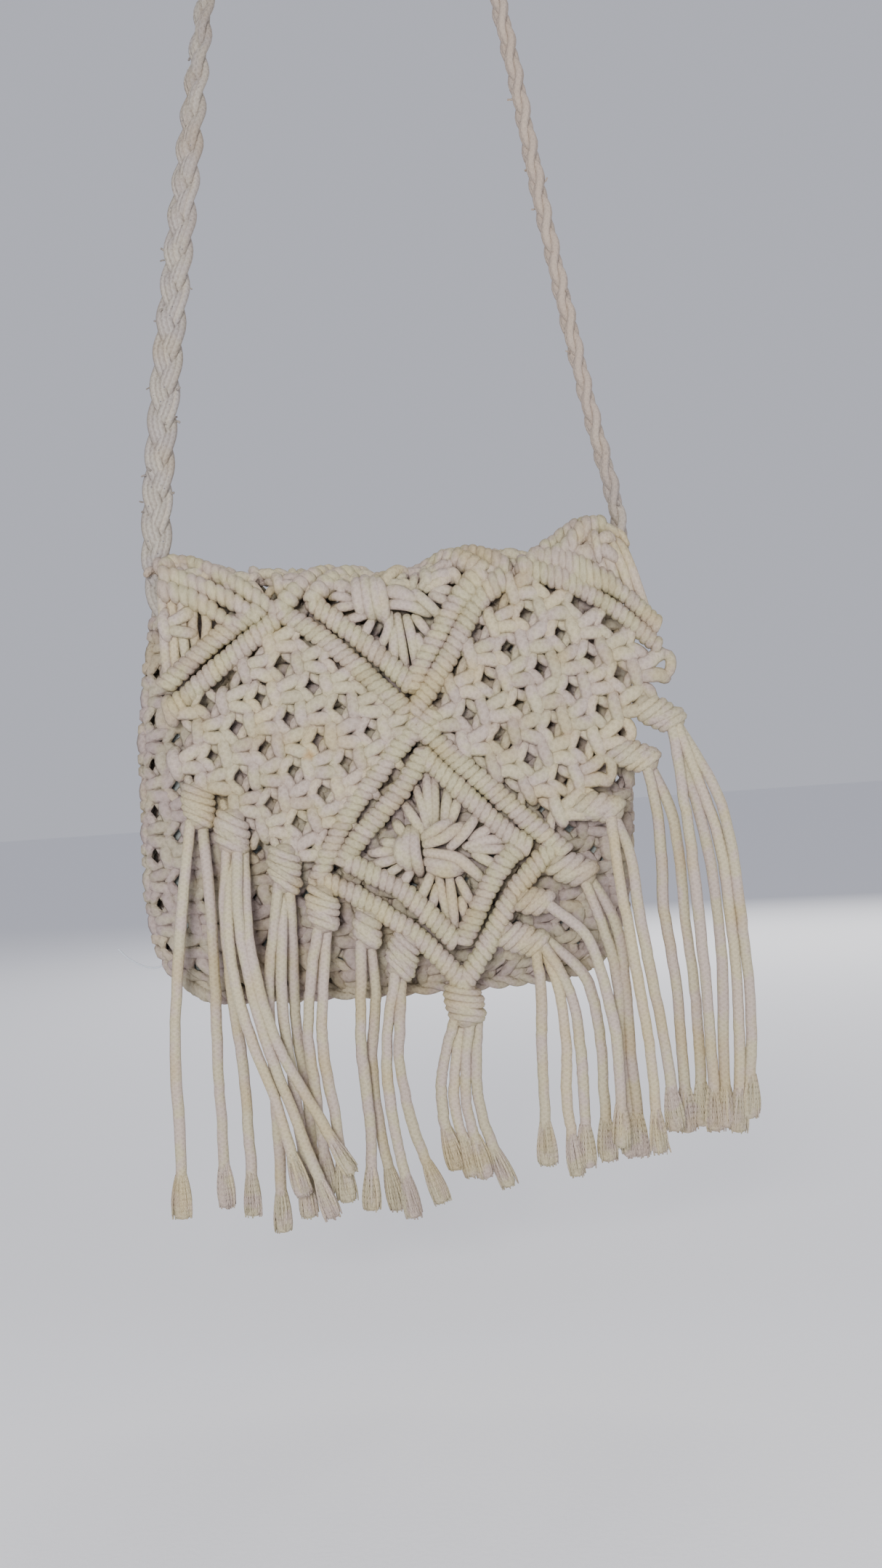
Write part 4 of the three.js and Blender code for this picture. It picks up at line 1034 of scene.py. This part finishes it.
strap_cotton = cotton_material(
    "strap_cotton", cream=(0.50, 0.465, 0.405, 1), lilac=(0.47, 0.435, 0.41, 1),
    warm=(0.48, 0.41, 0.32, 1), specks=0.06, stains=[WARM_PATCH])
strap_piece = braid.build("strap_braid", strap_cotton)
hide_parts("strap")


# The loose thread: a thin blue-grey sewing thread that has worked out of the pouch's lower left
# corner, about 23 mm long.
THREAD_RADIUS = 0.32
THREAD_LINE = [(-100, -2, -147.5), (-105, -3, -149.5), (-110, -4, -148.5), (-115.5, -5, -145),
               (-119, -6, -141)]


def mottled_material(name, dark, light, scale, roughness=0.95):
    """A plain surface, mottled between two near colours."""
    material, add = shader_nodes(name)
    mottle = noise(add, millimetres(add), scale)
    finish_cloth(add, mix_colour(add, mottle, dark, light), mottle, 0.0001, roughness)
    return material


thread = Strands()
thread.sweep(through(THREAD_LINE, 30), THREAD_RADIUS, sides=6, tone=0.9)
thread_material = mottled_material("thread", (0.42, 0.46, 0.52, 1), (0.6, 0.64, 0.68, 1), 2.0)
thread_piece = thread.build("loose_thread", thread_material)


# The floor: plain, pale and a little rough, about 45 mm below the fringe. It isn't part of
# the bag.
FLOOR_Z = -0.80
FLOOR_HALF = 12.0
floor_corners = [(x * FLOOR_HALF, y * FLOOR_HALF, FLOOR_Z)
                 for x, y in ((-1, -1), (1, -1), (1, 1), (-1, 1))]
floor_mesh = bpy.data.meshes.new("floor")
floor_mesh.from_pydata(floor_corners, [], [(0, 1, 2, 3)])
floor_mesh.materials.append(mottled_material(
    "pale_floor", (0.88, 0.88, 0.90, 1), (0.90, 0.90, 0.915, 1), 0.5, roughness=0.8))
floor = add_object("floor", floor_mesh)


# The light: soft studio panels, the main one in front, a little high and to the left, a weaker
# one at the right, one behind, and the even pale light of the room.
BAG_MIDDLE = Vector((0.0, 0.0, -0.58))
PANELS = [
    # name, place, width, power, colour
    ("main_panel", (-0.18, -1.12, -0.40), 0.30, 12.8, (1.0, 0.985, 0.96)),
    ("side_panel", (1.3, -0.9, -0.35), 0.9, 5.0, (0.97, 0.98, 1.0)),
    ("back_panel", (0.5, 1.5, 0.1), 0.9, 16.0, (1.0, 0.99, 0.97)),
]
ROOM_LIGHT = (0.86, 0.88, 1.0, 1)
ROOM_STRENGTH = 0.62
for name, at, width, power, colour in PANELS:
    panel_data = bpy.data.lights.new(name, "AREA")
    panel_data.shape = "SQUARE"
    panel_data.size = width
    panel_data.energy = power
    panel_data.color = colour
    panel = add_object(name, panel_data)
    panel.location = at
    panel.rotation_euler = (BAG_MIDDLE - Vector(at)).to_track_quat("-Z", "Y").to_euler()

world = bpy.data.worlds.new("room")
world.use_nodes = True
background = world.node_tree.nodes["Background"]
background.inputs["Color"].default_value = ROOM_LIGHT
background.inputs["Strength"].default_value = ROOM_STRENGTH
bpy.context.scene.world = world
